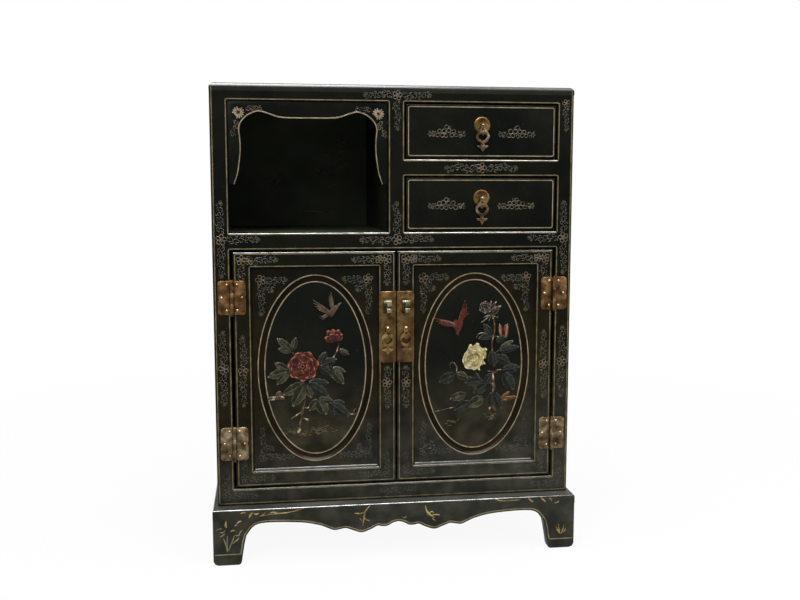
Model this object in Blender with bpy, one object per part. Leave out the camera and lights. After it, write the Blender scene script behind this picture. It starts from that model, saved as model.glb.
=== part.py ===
"""A lacquered cabinet: an open niche and two drawers over two doors, on a bracket-foot base.

Metres, +Z up. The front faces -Y, +X is to the right, and the origin is under the middle of the base.
"""

import math

import bmesh
import bpy
from mathutils import Matrix, Vector

# Clearances
FIT = 0.0003  # glued or resting faces
RUNNING = 0.0004  # turning on a pin

# Case
CASE_WIDTH = 0.702
CASE_DEPTH = 0.400
MEMBER = 0.033  # face width of every stile and rail
FACE_DEPTH = 0.022
DOOR_OPENING_HEIGHT = 0.4642
DRAWER_OPENING_HEIGHT = 0.10675
SIDE_BOARD = 0.018
TOP_BOARD = 0.020
FLOOR_BOARD = 0.018
DECK_BOARD = 0.018
DUST_BOARD = 0.014
BACK_PANEL = 0.008
BACK_INSET = 0.004
BACK_RABBET = 0.008
DECK_GROOVE = 0.006
STOP_DROP = 0.008
STOP_DEPTH = 0.012
ARRIS = 0.004
ARRIS_STEPS = 2

# Niche arch
ARCH_SETBACK = 0.003
ARCH_THICKNESS = 0.012
ARCH_CROWN_DROP = 0.0317
ARCH_CROWN_FLAT = 0.8  # part of the crown that is level
ARCH_PEAK_DROP = 0.0198
ARCH_PEAK_INSET = 0.055
ARCH_SHOULDER_DROP = 0.0465
ARCH_SHOULDER_INSET = 0.019
ARCH_LEG_DROP = 0.155
ARCH_LEG_INSET = 0.007

# Base
BASE_HEIGHT = 0.110
SIDE_OVERHANG = 0.009
FRONT_OVERHANG = 0.026
LEDGE = 0.018
APRON = 0.022
FOOT_WIDTH = 0.0535
FOOT_TAPER = 0.013
FOOT_ROUND = 0.006
FOOT_EASE = 0.3  # of that rounding, at its middle
ARCH_RUN = 0.0455  # from the arch's highest point to where the foot starts
ARCH_BEND = 0.016
ARCH_BEND_DROP = 0.0027
# Points of the aprons' lower edge: out from the middle, and down from the ledge
ARCH_DROP = 0.0097
SPRING_DROP = 0.0337
SCALLOP_CENTRE = (0.000, 0.0202)
SCALLOP_SLOPE = (0.0302, 0.0272)
SCALLOP_CUSP = (0.0718, 0.0385)
SCALLOP_LOBE = (0.1065, 0.0287)
SCALLOP_NOTCH = (0.1195, 0.0299)
SCALLOP_SWELL = 0.004

# Drawers
DRAWER_GAP = 0.002
DRAWER_RECESS = 0.001
DRAWER_FRONT = 0.018
DRAWER_TAIL_GAP = 0.057
DRAWER_SIDE = 0.010
DRAWER_HEADROOM = 0.018
DRAWER_BOTTOM = 0.006
PULL_RISE = 0.012
PULL_RADIUS = 0.0158

# Doors
DOOR_THICKNESS = 0.022
DOOR_STILE = 0.033
DOOR_RAIL = 0.0293
HINGE_GAP = 0.004
HEAD_GAP = 0.003
MEETING_GAP = 0.0025
PANEL_SINK = 0.008
PANEL_BACKSET = 0.0012
PANEL_REBATE = 0.006
SIGHT_ROUND = 0.003
OVAL_SIDE_MARGIN = 0.0134
OVAL_END_MARGIN = 0.0178
OVAL_BEVEL = 0.0115
OVAL_SINK = 0.005
OVAL_STEPS = 40

# Hinges
LEAF_WIDTH = 0.0265  # from the pin's axis
LEAF_HEIGHT = 0.065
LEAF_THICKNESS = 0.0016
LEAF_CORNER = 0.006
HINGE_FROM_END = 0.087
BARREL_RADIUS = 0.0042
PIN_RADIUS = 0.0018
PIN_HEAD_RADIUS = 0.0036
PIN_HEAD_HEIGHT = 0.003

# Lock plates and pendants
PLATE_THICKNESS = 0.0015
LOCK_WIDTH = 0.033
LOCK_HEIGHT = 0.140
LOCK_CORNER = 0.006
LOCK_RISE = 0.0805  # of the plate's middle over the door's middle
LOCK_POST_DROP = 0.003
STAPLE_RISE = 0.040
STAPLE_WIDTH = 0.010
STAPLE_HEIGHT = 0.020
STAPLE_REACH = 0.009
STAPLE_STRIP = 0.0016
POST_REACH = 0.0055  # from the plate to the pendant's pin
POST_RADIUS = 0.0042
POST_NECK = 0.0032
CROSS_PIN_RADIUS = 0.001
EYE_RADIUS = 0.003
EYE_THICKNESS = 0.002
PENDANT_THICKNESS = 0.002
PENDANT_HALF_WIDTH = 0.0132
PENDANT_LENGTH = 0.052
HEART_HALF_WIDTH = 0.0078

# Carved stone
STEM_HEIGHT = 0.0022
LEAF_RELIEF = 0.0028
FLOWER_HEIGHT = 0.0035
BIRD_HEIGHT = 0.0045
STEM_WIDTH = 0.0045
CARVING_STEP = 0.00002  # each leaf is this much thinner than the last, so no two share a plane

# Levels and planes that follow from the sizes above
BASE_DEPTH = CASE_DEPTH + FRONT_OVERHANG
BASE_HALF_WIDTH = CASE_WIDTH / 2 + SIDE_OVERHANG
BASE_FRONT = -BASE_DEPTH / 2
BASE_BACK = BASE_DEPTH / 2
CASE_FRONT = BASE_FRONT + FRONT_OVERHANG
CASE_BACK = BASE_BACK
FACE_BACK = CASE_FRONT + FACE_DEPTH
BACK_FACE = CASE_BACK - BACK_INSET - BACK_PANEL
HALF_WIDTH = CASE_WIDTH / 2
OPENING_HALF = HALF_WIDTH - MEMBER
SIDE_INNER = HALF_WIDTH - SIDE_BOARD
MULLION_HALF = MEMBER / 2
UNDER_LEDGE = BASE_HEIGHT - LEDGE - FIT
CASE_BOTTOM = BASE_HEIGHT + FIT
FLOOR_TOP = CASE_BOTTOM + FLOOR_BOARD
DOOR_SILL = CASE_BOTTOM + MEMBER
DOOR_HEAD = DOOR_SILL + DOOR_OPENING_HEIGHT
DECK_TOP = DOOR_HEAD + MEMBER
DIVIDER_BOTTOM = DECK_TOP + DRAWER_OPENING_HEIGHT
DIVIDER_TOP = DIVIDER_BOTTOM + MEMBER
LINTEL = DIVIDER_TOP + DRAWER_OPENING_HEIGHT
CASE_TOP = LINTEL + MEMBER
CEILING = CASE_TOP - TOP_BOARD
STOP_FRONT = CASE_FRONT + DOOR_THICKNESS + FIT
STOP_BACK = STOP_FRONT + STOP_DEPTH
HINGE_X = OPENING_HALF - HINGE_GAP / 2
HINGE_Y = CASE_FRONT - BARREL_RADIUS - RUNNING
DOOR_BOTTOM = DOOR_SILL + HEAD_GAP
DOOR_TOP = DOOR_HEAD - HEAD_GAP
DOOR_MIDDLE = (DOOR_BOTTOM + DOOR_TOP) / 2
DOOR_OUTER = OPENING_HALF - HINGE_GAP
DOOR_INNER = MEETING_GAP / 2
DOOR_CENTRE = (DOOR_OUTER + DOOR_INNER) / 2
PANEL_FACE = CASE_FRONT + PANEL_SINK + FIT
PANEL_BACK = CASE_FRONT + DOOR_THICKNESS - PANEL_BACKSET
OVAL_HALF_WIDTH = (DOOR_OUTER - DOOR_INNER) / 2 - DOOR_STILE - OVAL_SIDE_MARGIN
OVAL_HALF_HEIGHT = (DOOR_TOP - DOOR_BOTTOM) / 2 - DOOR_RAIL - OVAL_END_MARGIN
FIELD_HALF_WIDTH = OVAL_HALF_WIDTH - OVAL_BEVEL
FIELD_HALF_HEIGHT = OVAL_HALF_HEIGHT - OVAL_BEVEL
CARVING_UNIT = min(FIELD_HALF_WIDTH / 98.5, FIELD_HALF_HEIGHT / 170.5)  # of the carving's drawing
FIELD = PANEL_FACE + OVAL_SINK
DRAWER_FACE = CASE_FRONT + DRAWER_RECESS
DRAWER_CENTRE = (MULLION_HALF + OPENING_HALF) / 2

# Finishes: colour, roughness, metallic
FINISHES = {
    "black_lacquer": ((0.012, 0.014, 0.012), 0.32, 0.0),
    "drawer_wood": ((0.34, 0.21, 0.11), 0.60, 0.0),
    "aged_brass": ((0.38, 0.25, 0.11), 0.42, 1.0),
    "pale_nickel": ((0.62, 0.60, 0.54), 0.30, 1.0),
    "red_stone": ((0.22, 0.05, 0.04), 0.45, 0.0),
    "cream_stone": ((0.72, 0.66, 0.36), 0.45, 0.0),
    "tan_stone": ((0.36, 0.26, 0.15), 0.45, 0.0),
    "green_stone": ((0.10, 0.13, 0.10), 0.45, 0.0),
}


def clear_scene():
    for obj in list(bpy.data.objects):
        bpy.data.objects.remove(obj)


def finish(name):
    """The material of one finish, made at its first use."""
    material = bpy.data.materials.get(name)
    if material is None:
        colour, roughness, metallic = FINISHES[name]
        material = bpy.data.materials.new(name)
        material.use_nodes = True
        shader = material.node_tree.nodes["Principled BSDF"]
        shader.inputs["Base Color"].default_value = (*colour, 1)
        shader.inputs["Roughness"].default_value = roughness
        shader.inputs["Metallic"].default_value = metallic
    return material


def axis_empty(name, at):
    empty = bpy.data.objects.new(name, None)
    bpy.context.scene.collection.objects.link(empty)
    empty.location = at
    return empty


def placed(name, bm, finish_name, carrier=None, origin=None):
    """An object from a bmesh in room coordinates. Its origin is given, its carrier's or its own middle."""
    if origin is None and carrier is not None:
        origin = carrier.location
    if origin is None:
        points = [v.co for v in bm.verts]
        lows = [min(p[i] for p in points) for i in range(3)]
        highs = [max(p[i] for p in points) for i in range(3)]
        origin = (Vector(lows) + Vector(highs)) / 2
    origin = Vector(origin)
    bmesh.ops.translate(bm, verts=bm.verts, vec=-origin)
    bmesh.ops.recalc_face_normals(bm, faces=bm.faces)
    mesh = bpy.data.meshes.new(name)
    bm.to_mesh(mesh)
    bm.free()
    mesh.materials.append(finish(finish_name))
    return placed_mesh(name, mesh, origin, carrier)


def placed_mesh(name, mesh, origin, carrier=None):
    obj = bpy.data.objects.new(name, mesh)
    bpy.context.scene.collection.objects.link(obj)
    obj.parent = carrier
    obj.location = Vector(origin) - (carrier.location if carrier else Vector())
    return obj


def box(low, high):
    bm = bmesh.new()
    bmesh.ops.create_cube(bm, size=1)
    low, high = Vector(low), Vector(high)
    for vert in bm.verts:
        vert.co = Vector(low[i] if vert.co[i] < 0 else high[i] for i in range(3))
    return bm


def prism(outline, axis, start, end):
    """Extrudes an outline along X, Y or Z. Its points hold the two other coordinates, in order."""
    bm = bmesh.new()
    along = "XYZ".index(axis)
    verts = []
    for point in outline:
        co = list(point)
        co.insert(along, start)
        verts.append(bm.verts.new(co))
    face = bm.faces.new(verts)
    far = bmesh.ops.extrude_face_region(bm, geom=[face])["geom"]
    moved = [item for item in far if isinstance(item, bmesh.types.BMVert)]
    shift = Vector()
    shift[along] = end - start
    bmesh.ops.translate(bm, verts=moved, vec=shift)
    return bm


def rod(radius, start, end, steps=16):
    """A round bar between two points."""
    bm = bmesh.new()
    start, end = Vector(start), Vector(end)
    turn = (end - start).to_track_quat("Z", "Y").to_matrix().to_4x4()
    where = Matrix.Translation((start + end) / 2) @ turn
    length = (end - start).length
    bmesh.ops.create_cone(
        bm, cap_ends=True, segments=steps, radius1=radius, radius2=radius, depth=length, matrix=where
    )
    return bm


def turned(profile, at, steps=16):
    """Spins a profile of (radius, z) about the vertical through a point. Both ends lie on the axis."""
    bm = bmesh.new()
    at = Vector(at)
    verts = [bm.verts.new(at + Vector((r, 0, z))) for r, z in profile]
    edges = [bm.edges.new(pair) for pair in zip(verts, verts[1:])]
    bmesh.ops.spin(
        bm, geom=verts + edges, cent=at, axis=(0, 0, 1), angle=math.tau, steps=steps, use_merge=True
    )
    bmesh.ops.remove_doubles(bm, verts=bm.verts, dist=1e-6)
    return bm


def smooth_through(points, steps):
    """A smooth line through points, with a few steps from each to the next."""
    ends = [points[0], *points, points[-1]]
    line = []
    for before, here, there, after in zip(ends, ends[1:], ends[2:], ends[3:]):
        for k in range(steps):
            t = k / steps
            spot = []
            for a, b, c, d in zip(before, here, there, after):
                slope = (c - a) * t
                bend = (2 * a - 5 * b + 4 * c - d) * t**2
                twist = (3 * b - a - 3 * c + d) * t**3
                spot.append(b + (slope + bend + twist) / 2)
            line.append(tuple(spot))
    return [*line, points[-1]]


def mirrored(half):
    """A half outline from the middle outwards, as a whole line from left to right."""
    left = [(-x, z) for x, z in reversed(half)]
    return left[:-1] + list(half)


def helper(obj):
    obj.hide_render = True
    obj.display_type = "WIRE"
    return obj


def combine(obj, tool, operation):
    """Joins, or cuts away, a helper's shape."""
    modifier = obj.modifiers.new(operation.title(), "BOOLEAN")
    modifier.operation = operation
    modifier.object = helper(tool)


def settled_mesh(obj):
    """The mesh with its modifiers worked in, so that copies can share it. The object and its helpers go."""
    bpy.context.view_layer.update()
    solid = obj.evaluated_get(bpy.context.evaluated_depsgraph_get())
    mesh = bpy.data.meshes.new_from_object(solid)
    for tool in [modifier.object for modifier in obj.modifiers]:
        bpy.data.objects.remove(tool)
    bpy.data.objects.remove(obj)
    return mesh


def round_edges(obj, width, chosen, steps=ARRIS_STEPS):
    """Rounds the edges that a test on their two end points picks."""
    mesh = obj.data
    weights = mesh.attributes.new("bevel_weight_edge", "FLOAT", "EDGE")
    for edge in mesh.edges:
        a, b = (obj.location + mesh.vertices[i].co for i in edge.vertices)
        weights.data[edge.index].value = 1.0 if chosen(a, b) else 0.0
    modifier = obj.modifiers.new("Arris", "BEVEL")
    modifier.limit_method = "WEIGHT"
    modifier.width = width
    modifier.segments = steps


def case_boards():
    top = [
        (CASE_FRONT, LINTEL),
        (CASE_FRONT, CASE_TOP),
        (CASE_BACK, CASE_TOP),
        (CASE_BACK, CEILING),
        (FACE_BACK, CEILING),
        (FACE_BACK, LINTEL),
    ]
    board = placed("top_board", prism(top, "X", -HALF_WIDTH, HALF_WIDTH), "black_lacquer")
    nearly_top = CASE_TOP - FIT
    nearly_back = CASE_BACK - FIT
    round_edges(board, ARRIS, lambda a, b: min(a.z, b.z) > nearly_top and min(a.y, b.y) < nearly_back)

    bottom = [
        (CASE_FRONT, CASE_BOTTOM),
        (CASE_FRONT, DOOR_SILL),
        (FACE_BACK, DOOR_SILL),
        (FACE_BACK, FLOOR_TOP),
        (CASE_BACK, FLOOR_TOP),
        (CASE_BACK, CASE_BOTTOM),
    ]
    placed("bottom_board", prism(bottom, "X", -HALF_WIDTH, HALF_WIDTH), "black_lacquer")

    for name, side in (("left_side", -1), ("right_side", 1)):
        rabbet = side * (SIDE_INNER + BACK_RABBET)
        plan = [
            (side * HALF_WIDTH, FACE_BACK + FIT),
            (side * HALF_WIDTH, CASE_BACK),
            (rabbet, CASE_BACK),
            (rabbet, BACK_FACE - FIT),
            (side * SIDE_INNER, BACK_FACE - FIT),
            (side * SIDE_INNER, FACE_BACK + FIT),
        ]
        panel = placed(name, prism(plan, "Z", FLOOR_TOP + FIT, CEILING - FIT), "black_lacquer")
        reach = sorted((side * (SIDE_INNER + DECK_GROOVE), side * (SIDE_INNER - DECK_GROOVE)))
        groove = box(
            (reach[0], STOP_BACK, DECK_TOP - DECK_BOARD - FIT),
            (reach[1], CASE_BACK + DECK_GROOVE, DECK_TOP + FIT),
        )
        combine(panel, placed(f"{name}_groove", groove, "black_lacquer"), "DIFFERENCE")

    panel_half = SIDE_INNER + BACK_RABBET - FIT
    back = box(
        (-panel_half, BACK_FACE, FLOOR_TOP + FIT),
        (panel_half, BACK_FACE + BACK_PANEL, CEILING - FIT),
    )
    placed("back_panel", back, "black_lacquer")

    deck_half = SIDE_INNER + DECK_GROOVE - FIT
    deck = box(
        (-deck_half, STOP_BACK + FIT, DECK_TOP - DECK_BOARD),
        (deck_half, BACK_FACE - FIT, DECK_TOP),
    )
    placed("deck_board", deck, "black_lacquer")


def face_frame():
    for name, side in (("left_stile", -1), ("right_stile", 1)):
        xs = sorted((side * HALF_WIDTH, side * OPENING_HALF))
        stile = box((xs[0], CASE_FRONT, DOOR_SILL + FIT), (xs[1], FACE_BACK, LINTEL - FIT))
        placed(name, stile, "black_lacquer")

    rail = [
        (CASE_FRONT, DOOR_HEAD),
        (CASE_FRONT, DECK_TOP),
        (STOP_BACK, DECK_TOP),
        (STOP_BACK, DOOR_HEAD - STOP_DROP),
        (STOP_FRONT, DOOR_HEAD - STOP_DROP),
        (STOP_FRONT, DOOR_HEAD),
    ]
    placed("middle_rail", prism(rail, "X", -OPENING_HALF + FIT, OPENING_HALF - FIT), "black_lacquer")

    partition = [
        (CASE_FRONT, DECK_TOP + FIT),
        (CASE_FRONT, LINTEL - FIT),
        (FACE_BACK + FIT, LINTEL - FIT),
        (FACE_BACK + FIT, CEILING - FIT),
        (BACK_FACE - FIT, CEILING - FIT),
        (BACK_FACE - FIT, DECK_TOP + FIT),
    ]
    placed("upper_partition", prism(partition, "X", -MULLION_HALF, MULLION_HALF), "black_lacquer")

    divider = [
        (CASE_FRONT, DIVIDER_BOTTOM),
        (CASE_FRONT, DIVIDER_TOP),
        (BACK_FACE - FIT, DIVIDER_TOP),
        (BACK_FACE - FIT, DIVIDER_TOP - DUST_BOARD),
        (FACE_BACK, DIVIDER_TOP - DUST_BOARD),
        (FACE_BACK, DIVIDER_BOTTOM),
    ]
    placed("drawer_divider", prism(divider, "X", MULLION_HALF + FIT, OPENING_HALF - FIT), "black_lacquer")

    lining = box(
        (OPENING_HALF, FACE_BACK + FIT, DECK_TOP + FIT),
        (SIDE_INNER - FIT, BACK_FACE - FIT, CEILING - FIT),
    )
    placed("drawer_lining", lining, "drawer_wood")


def niche_arch():
    """A scalloped frame under the top rail: two peaks, a flat crown between them and two tapering legs."""
    half = (OPENING_HALF - MULLION_HALF) / 2
    middle = -(OPENING_HALF + MULLION_HALF) / 2
    top = LINTEL - FIT
    crown_half = half - ARCH_PEAK_INSET - 2 * ARCH_SHOULDER_INSET
    peak = half - ARCH_PEAK_INSET
    shoulder = half - ARCH_SHOULDER_INSET
    inner = smooth_through(
        [
            (0, ARCH_CROWN_DROP),
            (crown_half * ARCH_CROWN_FLAT, ARCH_CROWN_DROP),
            ((crown_half + peak) / 2, (ARCH_CROWN_DROP + ARCH_PEAK_DROP) / 2),
            (peak, ARCH_PEAK_DROP),
            (half - ARCH_PEAK_INSET / 2, (ARCH_PEAK_DROP * 2 + ARCH_SHOULDER_DROP) / 3),
            (shoulder, ARCH_SHOULDER_DROP),
            (shoulder, (ARCH_SHOULDER_DROP * 2 + ARCH_LEG_DROP) / 3),
            (half - ARCH_LEG_INSET, ARCH_LEG_DROP),
        ],
        3,
    )
    edge = half - FIT
    outline = [(-edge, 0), (-edge, ARCH_LEG_DROP), *mirrored(inner), (edge, ARCH_LEG_DROP), (edge, 0)]
    outline = [(middle + x, top - drop) for x, drop in outline]
    front = CASE_FRONT + ARCH_SETBACK
    placed("niche_arch", prism(outline, "Y", front, front + ARCH_THICKNESS), "black_lacquer")


def foot_and_arch(half, steps):
    """Half of a bracket-foot rail's lower edge, from its arch out to the foot's outer corner."""
    foot = half - FOOT_WIDTH
    spring = foot - FOOT_TAPER
    arch = [
        (spring - ARCH_RUN, UNDER_LEDGE - ARCH_DROP),
        (spring - ARCH_BEND, UNDER_LEDGE - ARCH_DROP - ARCH_BEND_DROP),
        (spring, UNDER_LEDGE - SPRING_DROP),
    ]
    return [
        *smooth_through(arch, steps),
        (foot, 0),
        (half - FOOT_ROUND, 0),
        (half - FOOT_ROUND * FOOT_EASE, FOOT_ROUND * FOOT_EASE),
        (half, FOOT_ROUND),
    ]


def apron(half, lower, axis, start, end):
    """A base rail hung from the ledge, with a lower edge that is drawn from its middle outwards."""
    outline = [(-half, UNDER_LEDGE), *mirrored(lower), (half, UNDER_LEDGE)]
    return prism(outline, axis, start, end)


def base():
    ledge = placed(
        "base_ledge",
        box((-BASE_HALF_WIDTH, BASE_FRONT, BASE_HEIGHT - LEDGE), (BASE_HALF_WIDTH, BASE_BACK, BASE_HEIGHT)),
        "black_lacquer",
    )
    nearly_top = BASE_HEIGHT - FIT
    nearly_back = BASE_BACK - FIT
    round_edges(ledge, ARRIS, lambda a, b: min(a.z, b.z) > nearly_top and min(a.y, b.y) < nearly_back)

    corner = foot_and_arch(BASE_HALF_WIDTH, 3)
    centre, slope, cusp, lobe, notch = (
        (x, UNDER_LEDGE - drop)
        for x, drop in (SCALLOP_CENTRE, SCALLOP_SLOPE, SCALLOP_CUSP, SCALLOP_LOBE, SCALLOP_NOTCH)
    )
    arch_start = corner[0]
    swell = ((notch[0] + arch_start[0]) / 2, (notch[1] + arch_start[1]) / 2 + SCALLOP_SWELL)
    scallops = [
        *smooth_through([centre, slope, cusp], 3)[:-1],
        *smooth_through([cusp, lobe, notch], 3)[:-1],
        *smooth_through([notch, swell, arch_start], 3)[:-1],
    ]
    front = apron(BASE_HALF_WIDTH, scallops + corner, "Y", BASE_FRONT, BASE_FRONT + APRON)
    placed("base_front", front, "black_lacquer")
    back = apron(BASE_HALF_WIDTH, foot_and_arch(BASE_HALF_WIDTH, 2), "Y", BASE_BACK - APRON, BASE_BACK)
    placed("base_back", back, "black_lacquer")

    half = BASE_DEPTH / 2
    ends = half - APRON - FIT
    lower = [(x, z) for x, z in foot_and_arch(half, 2) if x < ends and z > 0]
    lower += [(half - FOOT_WIDTH, 0), (ends, 0)]
    for name, side in (("base_left", -1), ("base_right", 1)):
        outer = side * BASE_HALF_WIDTH
        placed(name, apron(ends, lower, "X", outer, outer - side * APRON), "black_lacquer")


def post_and_plate(name, plate, centre, carrier, finish_name="aged_brass"):
    """A brass plate with a domed post. The post is slotted for a pendant's eye and crossed by its pin."""
    pivot = Vector((centre[0], centre[1] - POST_REACH, centre[2]))
    obj = placed(name, plate, finish_name, carrier)
    neck = rod(POST_NECK, (pivot.x, centre[1] + PLATE_THICKNESS / 2, pivot.z), pivot, 12)
    combine(obj, placed(f"{name}_neck", neck, finish_name), "UNION")
    dome = bmesh.new()
    bmesh.ops.create_uvsphere(
        dome, u_segments=12, v_segments=8, radius=POST_RADIUS, matrix=Matrix.Translation(pivot)
    )
    combine(obj, placed(f"{name}_dome", dome, finish_name), "UNION")
    clear = EYE_RADIUS + RUNNING
    slot_half = EYE_THICKNESS / 2 + RUNNING
    slot = box(
        (pivot.x - slot_half, pivot.y - 2 * POST_RADIUS, pivot.z - 2 * POST_RADIUS),
        (pivot.x + slot_half, pivot.y + clear, pivot.z + clear),
    )
    combine(obj, placed(f"{name}_slot", slot, finish_name), "DIFFERENCE")
    grip = (POST_RADIUS + slot_half) / 2
    reach = Vector((grip, 0, 0))
    pin = rod(CROSS_PIN_RADIUS, pivot - reach, pivot + reach, 8)
    combine(obj, placed(f"{name}_pin", pin, finish_name), "UNION")
    return pivot


def pendant_mesh():
    """An openwork pendant about its pin: an eye, a body pierced by a heart, and a forked tail."""
    top = POST_RADIUS + 2 * RUNNING
    body = PENDANT_HALF_WIDTH
    long = PENDANT_LENGTH
    half = smooth_through(
        [
            (0.25 * body, -top),
            (0.75 * body, -0.25 * long),
            (body, -0.42 * long),
            (0.75 * body, -0.57 * long),
            (0.20 * body, -0.70 * long),
        ],
        3,
    )
    half += [
        (0.32 * body, -0.79 * long),
        (0.82 * body, -0.75 * long),
        (0.70 * body, -0.84 * long),
        (0.35 * body, -0.92 * long),
        (0.12 * body, -0.92 * long),
        (0.10 * body, -long),
    ]
    outline = half + [(-x, z) for x, z in reversed(half)]
    thick = PENDANT_THICKNESS / 2
    obj = placed("pendant", prism(outline, "Y", -thick, thick), "aged_brass", origin=(0, 0, 0))

    heart_half = smooth_through(
        [
            (0, -0.39 * long),
            (0.5 * HEART_HALF_WIDTH, -0.345 * long),
            (HEART_HALF_WIDTH, -0.40 * long),
            (0.7 * HEART_HALF_WIDTH, -0.49 * long),
            (0, -0.60 * long),
        ],
        2,
    )
    heart = heart_half + [(-x, z) for x, z in reversed(heart_half[1:-1])]
    hole = prism(heart, "Y", -4 * thick, 4 * thick)
    combine(obj, placed("heart_hole", hole, "aged_brass", origin=(0, 0, 0)), "DIFFERENCE")

    across = EYE_THICKNESS / 2
    eye = rod(EYE_RADIUS, (-across, 0, 0), (across, 0, 0), 16)
    combine(obj, placed("eye", eye, "aged_brass", origin=(0, 0, 0)), "UNION")
    link = box(
        (-0.9 * across, -0.9 * thick, -0.25 * long),
        (0.9 * across, 0.9 * thick, -0.5 * EYE_RADIUS),
    )
    combine(obj, placed("link", link, "aged_brass", origin=(0, 0, 0)), "UNION")
    bore_radius = CROSS_PIN_RADIUS + RUNNING
    bore = rod(bore_radius, (-3 * across, 0, 0), (3 * across, 0, 0), 12)
    combine(obj, placed("bore", bore, "aged_brass", origin=(0, 0, 0)), "DIFFERENCE")
    return settled_mesh(obj)


def drawer(name, sill, pendant):
    """One drawer: a lacquered front, a plain wooden box behind it and its pull."""
    slide = axis_empty(f"{name}_slide", (DRAWER_CENTRE, DRAWER_FACE, sill))
    left = MULLION_HALF + DRAWER_GAP
    right = OPENING_HALF - DRAWER_GAP
    head = sill + DRAWER_OPENING_HEIGHT - DRAWER_GAP
    front_back = DRAWER_FACE + DRAWER_FRONT
    placed(
        f"{name}_front",
        box((left, DRAWER_FACE, sill + DRAWER_GAP), (right, front_back, head)),
        "black_lacquer",
        slide,
    )
    tail = BACK_FACE - DRAWER_TAIL_GAP
    floor = sill + FIT
    placed(
        f"{name}_bottom",
        box((left, front_back + FIT, floor), (right, tail, floor + DRAWER_BOTTOM)),
        "drawer_wood",
        slide,
    )
    low = floor + DRAWER_BOTTOM + FIT
    high = sill + DRAWER_OPENING_HEIGHT - DRAWER_HEADROOM
    for side, inner in (("left", left), ("right", right - DRAWER_SIDE)):
        placed(
            f"{name}_{side}_side",
            box((inner, front_back + FIT, low), (inner + DRAWER_SIDE, tail, high)),
            "drawer_wood",
            slide,
        )
    placed(
        f"{name}_back",
        box(
            (left + DRAWER_SIDE + FIT, tail - DRAWER_SIDE, low),
            (right - DRAWER_SIDE - FIT, tail, high),
        ),
        "drawer_wood",
        slide,
    )
    pull = name.replace("drawer", "pull")
    plate_front = DRAWER_FACE - FIT - PLATE_THICKNESS
    centre = (DRAWER_CENTRE, plate_front, (sill + DRAWER_GAP + head) / 2 + PULL_RISE)
    seat = (centre[0], plate_front + PLATE_THICKNESS, centre[2])
    plate = rod(PULL_RADIUS, centre, seat, 28)
    pivot = post_and_plate(f"{pull}_plate", plate, centre, slide)
    placed_mesh(f"{pull}_pendant", pendant, pivot, slide)


def mitred_frame(outer, inner, profile):
    """Sweeps a profile round a rectangle, each point set in from its outer edge or out of its inner."""
    bm = bmesh.new()
    rings = []
    for edge, inset, y in profile:
        x0, z0, x1, z1 = outer if edge == "outer" else inner
        inset = inset if edge == "outer" else -inset
        corners = [
            (x0 + inset, z0 + inset),
            (x1 - inset, z0 + inset),
            (x1 - inset, z1 - inset),
            (x0 + inset, z1 - inset),
        ]
        rings.append([bm.verts.new((x, y, z)) for x, z in corners])
    for ring, following in zip(rings, rings[1:] + rings[:1]):
        for k in range(4):
            after = (k + 1) % 4
            bm.faces.new((ring[k], ring[after], following[after], following[k]))
    return bm


def ellipse(centre_x, centre_z, half_width, half_height, steps):
    turns = [math.tau * k / steps for k in range(steps)]
    return [(centre_x + half_width * math.cos(t), centre_z + half_height * math.sin(t)) for t in turns]


def lofted(rings):
    """Closes a stack of rings, each a list of points at one depth, into a solid."""
    bm = bmesh.new()
    loops = [[bm.verts.new((x, y, z)) for x, z in outline] for y, outline in rings]
    for near, far in zip(loops, loops[1:]):
        for k in range(len(near)):
            after = (k + 1) % len(near)
            bm.faces.new((near[k], near[after], far[after], far[k]))
    bm.faces.new(loops[0])
    bm.faces.new(reversed(loops[-1]))
    return bm


def door_leaf(name, side, swing):
    """A door: a moulded frame and a panel with a sunk oval field."""
    xs = sorted((side * DOOR_OUTER, side * DOOR_INNER))
    outer = (xs[0], DOOR_BOTTOM, xs[1], DOOR_TOP)
    inner = (xs[0] + DOOR_STILE, DOOR_BOTTOM + DOOR_RAIL, xs[1] - DOOR_STILE, DOOR_TOP - DOOR_RAIL)
    back = CASE_FRONT + DOOR_THICKNESS
    ease = 1 - math.sqrt(0.5)
    profile = [
        ("outer", 0, back),
        ("outer", 0, CASE_FRONT + SIGHT_ROUND),
        ("outer", ease * SIGHT_ROUND, CASE_FRONT + ease * SIGHT_ROUND),
        ("outer", SIGHT_ROUND, CASE_FRONT),
        ("inner", SIGHT_ROUND, CASE_FRONT),
        ("inner", ease * SIGHT_ROUND, CASE_FRONT + ease * SIGHT_ROUND),
        ("inner", 0, CASE_FRONT + SIGHT_ROUND),
        ("inner", 0, CASE_FRONT + PANEL_SINK),
        ("inner", PANEL_REBATE, CASE_FRONT + PANEL_SINK),
        ("inner", PANEL_REBATE, back),
    ]
    placed(f"{name}_frame", mitred_frame(outer, inner, profile), "black_lacquer", swing)

    grow = PANEL_REBATE - FIT
    panel = box(
        (inner[0] - grow, PANEL_FACE, inner[1] - grow),
        (inner[2] + grow, PANEL_BACK, inner[3] + grow),
    )
    panel = placed(f"{name}_panel", panel, "black_lacquer", swing)
    middle = (side * DOOR_CENTRE, DOOR_MIDDLE)
    rim = ellipse(*middle, OVAL_HALF_WIDTH, OVAL_HALF_HEIGHT, OVAL_STEPS)
    floor = ellipse(*middle, FIELD_HALF_WIDTH, FIELD_HALF_HEIGHT, OVAL_STEPS)
    recess = lofted([(PANEL_FACE - OVAL_SINK, rim), (PANEL_FACE + FIT, rim), (FIELD, floor)])
    combine(panel, placed(f"{name}_recess", recess, "black_lacquer"), "DIFFERENCE")


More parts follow.
